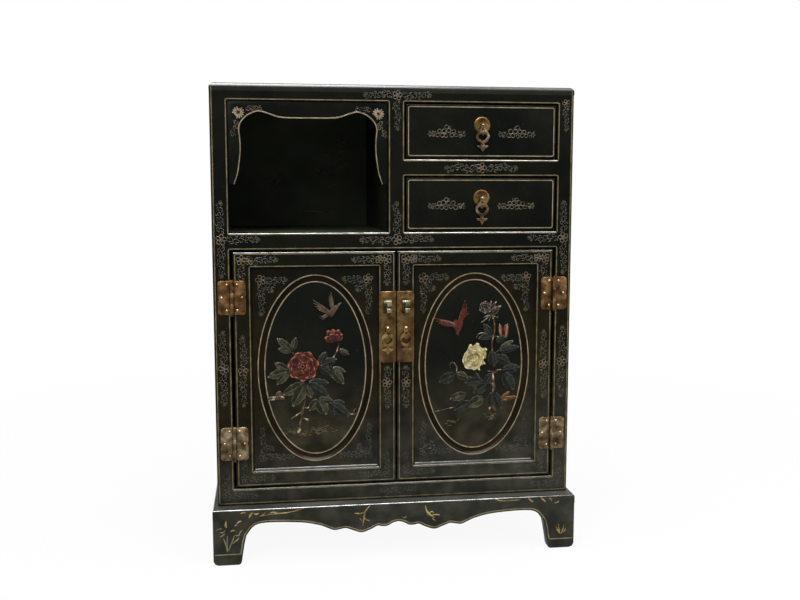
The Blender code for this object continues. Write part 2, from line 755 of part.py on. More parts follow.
def hinge_meshes(side):
    """The two leaves of a hinge, about the middle of its pin. The door's leaf has the middle knuckle."""
    half = LEAF_HEIGHT / 2
    third = LEAF_HEIGHT / 6
    above = third + RUNNING
    relief = BARREL_RADIUS + 2 * RUNNING
    seat = BARREL_RADIUS + RUNNING - FIT
    away = seat - LEAF_THICKNESS
    meshes = []
    for outward in (side, -side):
        edge = outward * relief
        far = outward * LEAF_WIDTH
        cut = outward * (LEAF_WIDTH - LEAF_CORNER)
        if outward == side:
            upper = [(edge, above), (0, above), (0, half)]
            knuckles = [(-half, -above), (above, half)]
        else:
            upper = [(0, third), (edge, third), (edge, half)]
            knuckles = [(-third, third)]
        upper += [(cut, half), (far, half - LEAF_CORNER)]
        outline = upper + [(x, -z) for x, z in reversed(upper)]
        leaf = placed("leaf", prism(outline, "Y", away, seat), "aged_brass", origin=(0, 0, 0))
        for low, high in knuckles:
            barrel = rod(BARREL_RADIUS, (0, 0, low), (0, 0, high), 16)
            combine(leaf, placed("barrel", barrel, "aged_brass", origin=(0, 0, 0)), "UNION")
        bore = rod(PIN_RADIUS + RUNNING, (0, 0, -LEAF_HEIGHT), (0, 0, LEAF_HEIGHT), 16)
        combine(leaf, placed("bore", bore, "aged_brass", origin=(0, 0, 0)), "DIFFERENCE")
        meshes.append(settled_mesh(leaf))
    return meshes


def hinges(name, side, swing):
    case_leaf, door_leaf_mesh = hinge_meshes(side)
    heights = {"upper": DOOR_TOP - HINGE_FROM_END, "lower": DOOR_BOTTOM + HINGE_FROM_END}
    for level, z in heights.items():
        at = (side * HINGE_X, HINGE_Y, z)
        placed_mesh(f"{name}_{level}_case_leaf", case_leaf, at)
        placed_mesh(f"{name}_{level}_door_leaf", door_leaf_mesh, at, swing)
        reach = LEAF_HEIGHT / 2 + FIT
        crown = reach + PIN_HEAD_HEIGHT
        profile = [
            (0, crown),
            (PIN_HEAD_RADIUS * 0.7, reach + PIN_HEAD_HEIGHT * 0.75),
            (PIN_HEAD_RADIUS, reach),
            (PIN_RADIUS, reach),
            (PIN_RADIUS, -reach),
            (PIN_HEAD_RADIUS, -reach),
            (PIN_HEAD_RADIUS * 0.7, -reach - PIN_HEAD_HEIGHT * 0.75),
            (0, -crown),
        ]
        placed(f"{name}_{level}_pin", turned(profile, at), "aged_brass", origin=at)


def lock_plate(name, side, swing, pendant):
    """The tall plate beside the meeting edge, with its staple for a lock bar and its pendant."""
    front = CASE_FRONT - FIT - PLATE_THICKNESS
    middle = DOOR_MIDDLE + LOCK_RISE
    near = side * (DOOR_INNER + FIT)
    far = side * (DOOR_INNER + FIT + LOCK_WIDTH)
    cut = far - side * LOCK_CORNER
    half = LOCK_HEIGHT / 2
    outline = [
        (near, middle - half),
        (cut, middle - half),
        (far, middle - half + LOCK_CORNER),
        (far, middle + half - LOCK_CORNER),
        (cut, middle + half),
        (near, middle + half),
    ]
    centre = ((near + far) / 2, front, middle - LOCK_POST_DROP)
    plate = prism(outline, "Y", front, front + PLATE_THICKNESS)
    pivot = post_and_plate(f"{name}_lock_plate", plate, centre, swing)
    placed_mesh(f"{name}_lock_pendant", pendant, pivot, swing)

    seat = front - FIT
    tip = seat - STAPLE_REACH
    low = middle + STAPLE_RISE - STAPLE_HEIGHT / 2
    high = low + STAPLE_HEIGHT
    strip = [
        (seat, low),
        (tip + STAPLE_STRIP, low),
        (tip, low + STAPLE_STRIP),
        (tip, high - STAPLE_STRIP),
        (tip + STAPLE_STRIP, high),
        (seat, high),
        (seat, high - STAPLE_STRIP),
        (tip + STAPLE_STRIP, high - STAPLE_STRIP),
        (tip + STAPLE_STRIP, low + STAPLE_STRIP),
        (seat, low + STAPLE_STRIP),
    ]
    staple = prism(strip, "X", centre[0] - STAPLE_WIDTH / 2, centre[0] + STAPLE_WIDTH / 2)
    placed(f"{name}_staple", staple, "pale_nickel", swing)


def leaf_outline(at, angle, length, width):
    """A pointed leaf from its stalk end. The angle is from straight up, clockwise from the front."""
    spine = Vector((math.sin(angle), math.cos(angle)))
    across = Vector((spine.y, -spine.x))
    shape = [(0, 0.12), (0.25, 0.8), (0.55, 1.0), (0.85, 0.55), (1, 0)]
    right = [Vector(at) + spine * length * t + across * width / 2 * w for t, w in shape]
    left = [Vector(at) + spine * length * t - across * width / 2 * w for t, w in reversed(shape[:-1])]
    return [tuple(p) for p in right + left]


def strip_outline(start, end, width):
    start, end = Vector(start), Vector(end)
    along = (end - start).normalized()
    across = Vector((along.y, -along.x)) * width / 2
    reach = along * width / 4
    corners = (start - reach + across, end + reach + across, end + reach - across, start - reach - across)
    return [tuple(p) for p in corners]


def on_field(middle, outline):
    """Moves an outline that is drawn about the oval's middle into its place, at the field's scale."""
    return [(middle[0] + x * CARVING_UNIT, middle[1] + z * CARVING_UNIT) for x, z in outline]


def foliage(name, middle, stems, leaves, calyx, swing):
    """Stems, leaves and the disc of sepals that the flower lies on, carved as one flat piece."""
    seat = FIELD - FIT
    flower_at, flower_radius = calyx
    disc = on_field(middle, ellipse(*flower_at, flower_radius, flower_radius, 14))
    plant = placed(name, prism(disc, "Y", seat - LEAF_RELIEF, seat), "green_stone", swing)
    shapes = [(strip_outline(a, b, STEM_WIDTH / CARVING_UNIT), STEM_HEIGHT) for a, b in stems]
    shapes += [(leaf_outline(*leaf), LEAF_RELIEF) for leaf in leaves]
    for k, (outline, height) in enumerate(shapes, 1):
        step = k * CARVING_STEP
        shape = prism(on_field(middle, outline), "Y", seat - height + step, seat - step)
        combine(plant, placed(f"{name}_{k}", shape, "green_stone"), "UNION")


def lobed_flower(name, middle, calyx, lobes, finish_name, swing):
    """A low domed flower with a scalloped edge, lying on its sepals."""
    (x, z), radius = calyx
    seat = FIELD - 2 * FIT - LEAF_RELIEF
    steps = 4 * lobes

    def ring(scale, wave):
        outline = []
        for k in range(steps):
            turn = math.tau * k / steps
            reach = radius * scale * (1 + wave * math.cos(lobes * turn))
            outline.append((x + reach * math.cos(turn), z + reach * math.sin(turn)))
        return on_field(middle, outline)

    rings = [
        (seat, ring(1.06, 0.05)),
        (seat - 0.55 * FLOWER_HEIGHT, ring(0.96, 0.05)),
        (seat - FLOWER_HEIGHT, ring(0.5, 0.04)),
    ]
    placed(name, lofted(rings), finish_name, swing)


def bird(name, middle, at, span, tilt, finish_name, swing):
    """A bird in flight seen from the side: beak, raised wings and a forked tail."""
    shape = [
        (0.50, 0.04),
        (0.36, 0.14),
        (0.20, 0.12),
        (0.30, 0.48),
        (0.02, 0.16),
        (-0.10, 0.50),
        (-0.16, 0.10),
        (-0.50, 0.12),
        (-0.36, 0.00),
        (-0.48, -0.14),
        (-0.14, -0.14),
        (0.16, -0.16),
        (0.34, -0.06),
    ]
    turn = Matrix.Rotation(tilt, 2)
    outline = on_field(middle, [Vector(at) + turn @ Vector(point) * span for point in shape])
    seat = FIELD - FIT
    placed(name, prism(outline, "Y", seat - BIRD_HEIGHT, seat), finish_name, swing)


def left_carving(swing):
    """Peony, bud and leaves under a flying bird."""
    middle = (-DOOR_CENTRE, DOOR_MIDDLE)
    peony = ((-28, 6), 27)
    stems = [
        ((-28, 0), (-28, -60)),
        ((-28, -60), (-34, -120)),
        ((-28, -55), (22, -62)),
        ((-10, 5), (30, 18)),
        ((30, 18), (34, 52)),
        ((-45, 20), (-54, 32)),
    ]
    leaves = [
        ((-50, 30), -0.45, 32, 18),
        ((34, 46), -0.15, 30, 26),
        ((-46, -4), -1.95, 40, 28),
        ((-8, 6), 1.20, 42, 26),
        ((29, 18), 2.40, 38, 22),
        ((-28, -36), -2.20, 40, 32),
        ((-28, -36), 1.85, 46, 30),
        ((4, -60), 1.95, 56, 32),
        ((-30, -112), 2.90, 20, 22),
    ]
    foliage("left_foliage", middle, stems, leaves, peony, swing)
    lobed_flower("left_peony", middle, peony, 9, "red_stone", swing)
    bird("left_bird", middle, (20, 121), 54, 0.35, "tan_stone", swing)


def right_carving(swing):
    """Rose, open flower, buds and leaves beside a diving bird."""
    middle = (DOOR_CENTRE, DOOR_MIDDLE)
    rose = ((2, 10), 23.5)
    stems = [
        ((6, 0), (22, -50)),
        ((22, -50), (26, -115)),
        ((22, -45), (44, -4)),
        ((44, -4), (34, 60)),
        ((34, 60), (32, 92)),
        ((36, 46), (58, 58)),
        ((20, -45), (-30, -34)),
    ]
    leaves = [
        ((33, 86), -0.05, 36, 36),
        ((56, 57), 0.10, 24, 20),
        ((40, 46), -1.05, 28, 18),
        ((40, 18), 1.40, 38, 26),
        ((-24, -35), -1.80, 36, 24),
        ((18, -32), -2.00, 34, 24),
        ((34, -20), 1.75, 44, 30),
        ((24, -60), 1.95, 42, 28),
        ((24, -70), -2.00, 40, 26),
    ]
    foliage("right_foliage", middle, stems, leaves, rose, swing)
    lobed_flower("right_rose", middle, rose, 7, "cream_stone", swing)
    bird("right_bird", middle, (-44, 86), 68, -0.45, "red_stone", swing)


def main():
    clear_scene()
    case_boards()
    face_frame()
    niche_arch()
    base()
    pendant = pendant_mesh()
    drawer("lower_drawer", DECK_TOP, pendant)
    drawer("upper_drawer", DIVIDER_TOP, pendant)
    for name, side in (("left", -1), ("right", 1)):
        swing = axis_empty(f"{name}_door_swing", (side * HINGE_X, HINGE_Y, DOOR_MIDDLE))
        door_leaf(f"{name}_door", side, swing)
        hinges(name, side, swing)
        lock_plate(name, side, swing, pendant)
        carving = left_carving if side < 0 else right_carving
        carving(swing)


main()
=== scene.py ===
# %% [markdown]
# # A lacquered cabinet with stone carvings
# The real cabinet is wood under black lacquer: a niche and two drawers above, two doors below, on a base with
# bracket feet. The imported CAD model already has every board, body and joint, so this lesson loads it as a fixed
# frame and dresses it piece by piece. The frame's box is kept, to compare with the dressed cabinet at the end.

# %% Load the frame
import math
import random

import bpy
from mathutils import Matrix, Vector


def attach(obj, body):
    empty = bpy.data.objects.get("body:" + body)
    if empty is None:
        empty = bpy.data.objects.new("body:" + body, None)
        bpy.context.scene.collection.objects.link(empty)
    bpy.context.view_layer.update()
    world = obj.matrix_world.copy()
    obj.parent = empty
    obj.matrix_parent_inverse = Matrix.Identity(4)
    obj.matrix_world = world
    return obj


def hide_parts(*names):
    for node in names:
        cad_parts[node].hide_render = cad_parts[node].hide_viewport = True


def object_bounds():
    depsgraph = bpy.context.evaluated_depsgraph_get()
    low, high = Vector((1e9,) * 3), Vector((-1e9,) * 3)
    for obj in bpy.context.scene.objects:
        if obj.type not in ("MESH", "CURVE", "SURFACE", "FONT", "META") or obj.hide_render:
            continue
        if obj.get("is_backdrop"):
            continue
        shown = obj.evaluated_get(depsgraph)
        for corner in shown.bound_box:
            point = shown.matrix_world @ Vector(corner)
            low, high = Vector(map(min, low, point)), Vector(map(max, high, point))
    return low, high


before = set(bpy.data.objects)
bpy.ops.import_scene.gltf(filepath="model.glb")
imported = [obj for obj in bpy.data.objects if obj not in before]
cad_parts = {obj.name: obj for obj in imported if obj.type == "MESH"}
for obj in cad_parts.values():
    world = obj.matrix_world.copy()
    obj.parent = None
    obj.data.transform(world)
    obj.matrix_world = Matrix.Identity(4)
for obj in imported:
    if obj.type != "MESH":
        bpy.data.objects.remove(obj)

CAD_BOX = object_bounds()

# %% [markdown]
# ## Camera
# The viewing point was worked out from the cabinet's straight edges: a lens of about 43 mm, two metres away, a
# little left of the middle and below the top. A fixed lens with no shift keeps the other views honest too.

# %% Camera
EYE, TILT, TURN, LENS = (-0.2539, -2.0125, 0.7185), 83.5, -8.13, 42.85
bpy.ops.object.select_all(action="DESELECT")
bpy.ops.object.camera_add(location=EYE, rotation=(math.radians(TILT), 0, math.radians(TURN)))
camera = bpy.context.object
camera.name = "camera"
camera.data.lens = LENS
camera.data.sensor_width = 36.0
bpy.context.scene.camera = camera
print("camera at", [round(v, 3) for v in camera.location])

# %% [markdown]
# ## Floor, world and lamps
# The cabinet stands on a white sweep with no visible horizon. The world is plain white where the camera or a
# reflection looks at it, and a soft grey as a light, so lacquer and brass mirror a white studio. Broad soft boxes
# light it from above and in front. One more box overhead is there for mirrors only, as a reflector in a studio is:
# it draws the bright lines along rounded edges. Near the cabinet the floor is part paint and part glow, so that it
# is white but keeps the cabinet's shadow, and further off it fades to plain white.

# %% Floor, world and lamps
def seen_rays(tree):
    """One where a camera, mirror or glass ray looks, nought where a ray only gathers light."""
    path = tree.nodes.new("ShaderNodeLightPath")
    total = path.outputs["Is Camera Ray"]
    for name in ("Is Glossy Ray", "Is Transmission Ray"):
        larger = tree.nodes.new("ShaderNodeMath")
        larger.operation = "MAXIMUM"
        tree.links.new(total, larger.inputs[0])
        tree.links.new(path.outputs[name], larger.inputs[1])
        total = larger.outputs[0]
    return total


bpy.context.scene.view_settings.view_transform = "Standard"
world = bpy.data.worlds.new("studio")
bpy.context.scene.world = world
world.use_nodes = True
sky = world.node_tree
sky.nodes["Background"].inputs["Color"].default_value = (1, 1, 1, 1)
level = sky.nodes.new("ShaderNodeMapRange")
level.inputs["To Min"].default_value = 0.45
level.inputs["To Max"].default_value = 1.0
sky.links.new(seen_rays(sky), level.inputs["Value"])
sky.links.new(level.outputs["Result"], sky.nodes["Background"].inputs["Strength"])

bpy.ops.object.select_all(action="DESELECT")
bpy.ops.mesh.primitive_plane_add(size=60)
floor = bpy.context.object
floor.name = "floor"
floor_paint = bpy.data.materials.new("floor_paint")
floor_paint.use_nodes = True
tree = floor_paint.node_tree
matt = tree.nodes["Principled BSDF"]
for socket, value in (("Base Color", (0.9, 0.9, 0.9, 1)), ("Roughness", 0.9), ("Specular IOR Level", 0.0)):
    matt.inputs[socket].default_value = value
glow = tree.nodes.new("ShaderNodeEmission")
away = tree.nodes.new("ShaderNodeVectorMath")
away.operation = "LENGTH"
tree.links.new(tree.nodes.new("ShaderNodeTexCoord").outputs["Object"], away.inputs[0])
fade = tree.nodes.new("ShaderNodeMapRange")
for socket, value in (("From Min", 0.5), ("From Max", 2.2), ("To Min", 0.93), ("To Max", 1.0)):
    fade.inputs[socket].default_value = value
tree.links.new(away.outputs["Value"], fade.inputs["Value"])
share = tree.nodes.new("ShaderNodeMath")
share.operation = "MULTIPLY"
tree.links.new(fade.outputs["Result"], share.inputs[1])
tree.links.new(seen_rays(tree), share.inputs[0])
mixed = tree.nodes.new("ShaderNodeMixShader")
tree.links.new(share.outputs[0], mixed.inputs[0])
tree.links.new(matt.outputs[0], mixed.inputs[1])
tree.links.new(glow.outputs[0], mixed.inputs[2])
tree.links.new(mixed.outputs[0], tree.nodes["Material Output"].inputs["Surface"])
floor.data.materials.append(floor_paint)
floor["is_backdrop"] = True

LAMPS = {
    "top_box": ((0.0, -0.5, 2.7), (0, 0, 0.4), 1.8, 38),
    "front_box": ((-1.3, -2.3, 2.1), (0, 0, 0.45), 1.2, 30),
    "side_box": ((1.9, -1.7, 1.6), (0, 0, 0.45), 1.2, 18),
}
for name, (place, aim, size, power) in LAMPS.items():
    way = Vector(aim) - Vector(place)
    bpy.ops.object.light_add(type="AREA", location=place, rotation=way.to_track_quat("-Z", "Y").to_euler())
    lamp = bpy.context.object
    lamp.name = name
    lamp.data.size = size
    lamp.data.energy = power
bpy.ops.object.light_add(type="AREA", location=(0, -0.8, 2.6))
mirror_box = bpy.context.object
mirror_box.name = "mirror_box"
mirror_box.data.shape = "RECTANGLE"
mirror_box.data.size = 2.4
mirror_box.data.size_y = 2.2
mirror_box.data.energy = 520
mirror_box.visible_diffuse = False
print("lamps:", ", ".join([*LAMPS, mirror_box.name]))

# %% [markdown]
# ## Mixing a finish
# A finish is a small net of nodes: noise on object coordinates makes patches, a ramp turns patches into
# colours, and the same noise drives gloss and relief. These helpers name those steps, so that each finish
# below reads like a recipe. Object coordinates are in metres, so a scale of 100 gives patches of about 10 mm.

# %% Finish helpers
def paint(red, green, blue):
    """A colour as it is read off a screen, 0 to 255, as the linear numbers that a shader takes."""
    parts = []
    for value in (red, green, blue):
        value /= 255
        parts.append(value / 12.92 if value < 0.04045 else ((value + 0.055) / 1.055) ** 2.4)
    return (*parts, 1.0)


def new_finish(name, **sockets):
    finish = bpy.data.materials.new(name)
    finish.use_nodes = True
    for socket, value in sockets.items():
        finish.node_tree.nodes["Principled BSDF"].inputs[socket.replace("_", " ")].default_value = value
    return finish


def add(finish, kind, **sockets):
    node = finish.node_tree.nodes.new("ShaderNode" + kind)
    for socket, value in sockets.items():
        node.inputs[socket.replace("_", " ")].default_value = value
    return node


def wire(finish, source, target):
    """Links a socket to a node's input, or to one of the shader's when target is a name."""
    if isinstance(target, str):
        target = finish.node_tree.nodes["Principled BSDF"].inputs[target]
    finish.node_tree.links.new(source, target)


def mottle(finish, scale, detail, stretch=(1, 1, 1)):
    """Cloudy noise from nought to one."""
    spread = add(finish, "Mapping", Scale=stretch)
    wire(finish, add(finish, "TexCoord").outputs["Object"], spread.inputs["Vector"])
    noise = add(finish, "TexNoise", Scale=scale, Detail=detail)
    wire(finish, spread.outputs["Vector"], noise.inputs["Vector"])
    return noise.outputs["Fac"]


def ramp(finish, source, *stops):
    """Colours in order along a value: each stop is a place from nought to one and a colour."""
    node = add(finish, "ValToRGB")
    while len(node.color_ramp.elements) < len(stops):
        node.color_ramp.elements.new(0.5)
    for element, (place, colour) in zip(node.color_ramp.elements, stops):
        element.position, element.color = place, colour
    wire(finish, source, node.inputs["Fac"])
    return node.outputs["Color"]


def blend(finish, amount, under, over):
    """Lays one colour over another by an amount, each a socket or a plain colour."""
    node = finish.node_tree.nodes.new("ShaderNodeMix")
    node.data_type = "RGBA"
    wire(finish, amount, node.inputs["Factor"])
    for colour, slot in ((under, node.inputs[6]), (over, node.inputs[7])):
        if isinstance(colour, tuple):
            slot.default_value = colour
        else:
            wire(finish, colour, slot)
    return node.outputs[2]


def between(finish, source, low, high):
    """Spreads the middle of a noise over a range of gloss."""
    node = add(finish, "MapRange", From_Min=0.3, From_Max=0.7, To_Min=low, To_Max=high)
    wire(finish, source, node.inputs["Value"])
    return node.outputs["Result"]


def relief(finish, height, strength, depth):
    """Makes the surface look raised where the noise is high, by a depth in metres."""
    node = add(finish, "Bump", Strength=strength, Distance=depth)
    wire(finish, height, node.inputs["Height"])
    wire(finish, node.outputs["Normal"], "Normal")


BLACK, WHITE = (0, 0, 0, 1), (1, 1, 1, 1)
print("finish helpers ready")

# %% [markdown]
# ## Black lacquer
# Old lacquer is a green-black skin with browner clouds, dust specks, worn flecks and a soft ripple from the
# brush. The inside of the cupboard is duller, and painted lighter than the outside to make up for the shade in it; a
# darker copy paints shade on the niche's partition and the cupboard floor. The carved fields get their own mix:
# greener at the top, mauve brown near the ground, as if a landscape were hinted at. Low down the lacquer turns lighter
# and greyer, and the coves round the ovals show a brown undercoat. A rubbed version, paler, glossier and patchy, goes
# on the
# rounded edges that look up: partly polish from hands and cloths, partly a painted highlight where the light falls.
# Two duller ones are for the top and its edge, the edge's paler again as a painted highlight. Round the doors' lower
# edges the polish has gone dull, and the ledge's top is greyer.

# %% Black lacquer
def by_height(finish, low, high, tilt=0.0):
    """Nought at one height and one at the other, or at a height that changes with x by a tilt."""
    level = add(finish, "VectorMath")
    level.operation = "DOT_PRODUCT"
    wire(finish, add(finish, "TexCoord").outputs["Object"], level.inputs[0])
    level.inputs[1].default_value = (tilt, 0, 1)
    node = add(finish, "MapRange", From_Min=low, From_Max=high)
    wire(finish, level.outputs["Value"], node.inputs["Value"])
    return node.outputs["Result"]


def tinted_below(finish, high, low, colours, tilt=0.0):
    """Lets another cloudy colour come in from one height down to another."""
    above = finish.node_tree.nodes["Principled BSDF"].inputs["Base Color"].links[0].from_socket
    tint = ramp(finish, mottle(finish, 30, 5), (0.35, colours[0]), (0.7, colours[1]))
    wire(finish, blend(finish, by_height(finish, high, low, tilt), above, tint), "Base Color")


def lacquer(name, dark, light, gloss, fleck_from, shine):
    finish = new_finish(name, Specular_IOR_Level=shine)
    body = ramp(finish, mottle(finish, 9, 6), (0.36, dark), (0.68, light))
    flecks = ramp(finish, mottle(finish, 320, 2), (fleck_from, BLACK), (fleck_from + 0.05, WHITE))
    wire(finish, blend(finish, flecks, body, paint(96, 92, 80)), "Base Color")
    wire(finish, between(finish, mottle(finish, 26, 5), gloss, gloss + 0.16), "Roughness")
    relief(finish, mottle(finish, 55, 3), 0.25, 0.0008)
    return finish


black_lacquer = lacquer("black_lacquer", paint(7, 9, 6), paint(17, 17, 11), 0.18, 0.77, 0.04)
# The inside is painted lighter than its real black to make up for the shade in it; the next copy is darker, as painted
# shade.
lightened_inner_lacquer = lacquer("lightened_inner_lacquer", paint(42, 48, 34), paint(58, 60, 45), 0.45, 0.78, 0.1)
shaded_inner_lacquer = lacquer("shaded_inner_lacquer", paint(20, 23, 16), paint(29, 30, 22), 0.4, 0.78, 0.08)
field_lacquer = lacquer("field_lacquer", paint(10, 13, 8), paint(21, 21, 14), 0.25, 0.77, 0.05)
tinted_below(black_lacquer, 0.62, 0.44, (paint(18, 15, 7), paint(33, 28, 15)))
# Lighter and greyer from about 0.34 m down to 0.1 m.
tinted_below(black_lacquer, 0.34, 0.1, (paint(38, 39, 34), paint(61, 60, 52)), -0.2)
tinted_below(field_lacquer, 0.38, 0.24, (paint(27, 25, 17), paint(54, 50, 38)))
cove_lacquer = lacquer("cove_lacquer", paint(13, 9, 4), paint(30, 20, 9), 0.2, 0.78, 0.045)
top_lacquer = lacquer("top_lacquer", paint(10, 11, 8), paint(24, 23, 17), 0.4, 0.72, 0.045)
# Paler than the black: partly rubbed wear, partly a painted highlight on the up-facing rounded edges that it is given
# to.
rubbed_and_highlit_lacquer = lacquer("rubbed_and_highlit_lacquer", paint(18, 18, 13), paint(60, 57, 48), 0.1, 0.62, 0.5)
rubbed_and_highlit = between(rubbed_and_highlit_lacquer, mottle(rubbed_and_highlit_lacquer, 48, 7), 1.1, 0.2)
dull, faint = (0.1, 0.1, 0.1, 1), (0.25, 0.25, 0.25, 1)
band = ramp(
    rubbed_and_highlit_lacquer, by_height(rubbed_and_highlit_lacquer, 0.1, 0.3), (0.07, WHITE), (0.14, faint), (0.7, faint), (1.0, WHITE)
)
wire(rubbed_and_highlit_lacquer, blend(rubbed_and_highlit_lacquer, band, dull, rubbed_and_highlit), "Specular IOR Level")
ledge_lacquer = lacquer("ledge_lacquer", paint(58, 59, 55), paint(88, 88, 82), 0.3, 0.74, 0.05)
# Paler than the top's lacquer: partly wear, partly a painted highlight on the top's up-facing rounding.
worn_and_highlit_lacquer = lacquer("worn_and_highlit_lacquer", paint(18, 18, 13), paint(44, 42, 34), 0.16, 0.66, 0.2)
strip = between(worn_and_highlit_lacquer, by_height(worn_and_highlit_lacquer, 0.9088, 0.9222, -0.004), 0.01, 0.26)
bright_left = by_height(worn_and_highlit_lacquer, -0.6, 1.3, -10)
wire(worn_and_highlit_lacquer, blend(worn_and_highlit_lacquer, bright_left, (0.05, 0.05, 0.05, 1), strip), "Specular IOR Level")
print("lacquers:", [m.name for m in bpy.data.materials if m.name.endswith("lacquer")])

# %% [markdown]
# ## Gold line, scroll paint and cream line
# Every frame is outlined in thin gold-brown paint that has worn through in places, and the scrolls between the
# lines mix gold, grey-green and mauve. Wear is the same trick in each: where a fine noise runs high, the paint
# gives way to lacquer. The ovals and drawers have a paler line, the niche's arch a thicker one in cream, and the base
# brighter gilding.

# %% Painted finishes
def worn_paint(name, colours, gaps_from, gloss):
    finish = new_finish(name, Specular_IOR_Level=0.1)
    stops = [(0.34 + 0.32 * k / (len(colours) - 1), colour) for k, colour in enumerate(colours)]
    body = ramp(finish, mottle(finish, 60, 3), *stops)
    gaps = ramp(finish, mottle(finish, 85, 8), (gaps_from, BLACK), (gaps_from + 0.05, WHITE))
    wire(finish, blend(finish, gaps, body, paint(30, 27, 19)), "Base Color")
    wire(finish, between(finish, mottle(finish, 200, 3), gloss, gloss + 0.25), "Roughness")
    relief(finish, mottle(finish, 700, 2), 0.3, 0.0003)
    return finish


gold_line = worn_paint("gold_line", (paint(76, 67, 43), paint(98, 88, 61), paint(112, 103, 78)), 0.66, 0.35)
pale_line = worn_paint("pale_line", (paint(108, 95, 68), paint(130, 117, 90), paint(144, 132, 108)), 0.68, 0.35)
cream_line = worn_paint("cream_line", (paint(108, 95, 71), paint(142, 130, 105)), 0.7, 0.4)
leaf_gold = worn_paint("leaf_gold", (paint(100, 80, 44), paint(146, 122, 72), paint(172, 154, 104)), 0.62, 0.35)
gilt_ring = worn_paint("gilt_ring", (paint(64, 60, 48), paint(108, 97, 77), paint(88, 85, 74)), 0.57, 0.4)
heart_paint = worn_paint("heart_paint", (paint(112, 58, 30), paint(156, 102, 58)), 0.72, 0.4)
blossom_paint = worn_paint("blossom_paint", (paint(76, 69, 52), paint(102, 84, 64), paint(90, 88, 76)), 0.58, 0.4)
haze_paint = worn_paint("haze_paint", (paint(50, 48, 42), paint(72, 66, 59)), 0.54, 0.45)
scroll_paint = worn_paint(
    "scroll_paint", (paint(43, 52, 41), paint(74, 70, 53), paint(63, 54, 50), paint(56, 65, 60)), 0.57, 0.4
)
orchid_paint = worn_paint("orchid_paint", (paint(84, 86, 64), paint(142, 124, 88), paint(122, 122, 106)), 0.64, 0.4)
faint_paint = worn_paint("faint_paint", (paint(64, 54, 35), paint(104, 88, 58)), 0.57, 0.45)
print("paints:", [m.name for m in bpy.data.materials if m.name.endswith(("line", "gold", "ring", "paint"))])

# %% [markdown]
# ## Metals
# Hinges, lock plates and pulls are brass, rubbed coppery in places and dull in others; the lower hinges have
# lost more colour, and the two staples are pale nickel. All are full metals, so their colour is in the
# reflection: noise changes both the tint and the gloss, and a fine grain breaks up the shine.

# %% Metals
def metal(name, colours, low_gloss, high_gloss):
    finish = new_finish(name, Metallic=1.0)
    stops = [(0.32 + 0.36 * k / (len(colours) - 1), colour) for k, colour in enumerate(colours)]
    body = ramp(finish, mottle(finish, 75, 6), *stops)
    stains = ramp(finish, mottle(finish, 210, 4), (0.6, BLACK), (0.72, WHITE))
    wire(finish, blend(finish, stains, body, colours[0]), "Base Color")
    wire(finish, between(finish, mottle(finish, 130, 4), low_gloss, high_gloss), "Roughness")
    relief(finish, mottle(finish, 500, 3), 0.35, 0.0004)
    return finish


copper_brass = metal("copper_brass", (paint(42, 29, 17), paint(80, 57, 34), paint(110, 86, 57)), 0.28, 0.5)
pale_brass = metal("pale_brass", (paint(50, 40, 27), paint(92, 78, 56), paint(134, 122, 100)), 0.28, 0.5)
lock_brass = metal("lock_brass", (paint(46, 31, 18), paint(72, 55, 30), paint(97, 78, 51)), 0.3, 0.5)
pull_brass = metal("pull_brass", (paint(52, 41, 29), paint(88, 75, 57), paint(130, 115, 94)), 0.22, 0.42)
nail_brass = metal("nail_brass", (paint(82, 66, 42), paint(136, 118, 88)), 0.26, 0.46)
drop_brass = metal("drop_brass", (paint(58, 44, 26), paint(100, 80, 48), paint(138, 114, 74)), 0.24, 0.44)
pale_nickel = metal("pale_nickel", (paint(62, 62, 50), paint(122, 120, 100)), 0.34, 0.52)
tinted_below(lock_brass, 0.47, 0.42, (paint(60, 43, 25), paint(112, 90, 60)))
print("metals:", [m.name for m in bpy.data.materials if m.name.endswith(("brass", "nickel"))])

# %% [markdown]
# ## Stones and drawer wood
# The flowers, birds and leaves are carved from soft soapstone, each in its own colour, with cloudy veins and a
# waxy gloss. Carved edges and veins are paler, partly as on the stone and partly as a painted highlight; one half of
# each leaf is painted lighter as if lit, and the roots of petals and leaves are painted dark as shade. The blades
# carry an attribute called carve that says how near an edge or a root each point is, and the finish reads it. The
# drawer boxes are plain pale wood, whose grain is a noise stretched along the boards.

# %% Stones and drawer wood
def stone(name, deep, body, pale, cloud=1.0):
    finish = new_finish(name, Specular_IOR_Level=0.13)
    clouds = ramp(finish, mottle(finish, 85, 5), (0.32, deep), (0.54, body), (cloud, pale))
    carved = add(finish, "Attribute")
    carved.attribute_name = "carve"
    parts = add(finish, "SeparateColor")
    wire(finish, carved.outputs["Color"], parts.inputs["Color"])
    # The carve attribute's red paints rims and veins pale, partly the stone's own and partly a painted highlight, and
    # lightens one half of each leaf as if lit; its green paints shade at the roots.
    rubbed_and_highlit = blend(finish, parts.outputs["Red"], clouds, pale)
    wire(finish, blend(finish, parts.outputs["Green"], rubbed_and_highlit, deep), "Base Color")
    wire(finish, between(finish, mottle(finish, 160, 3), 0.14, 0.42), "Roughness")
    relief(finish, mottle(finish, 300, 4), 0.45, 0.0008)
    return finish


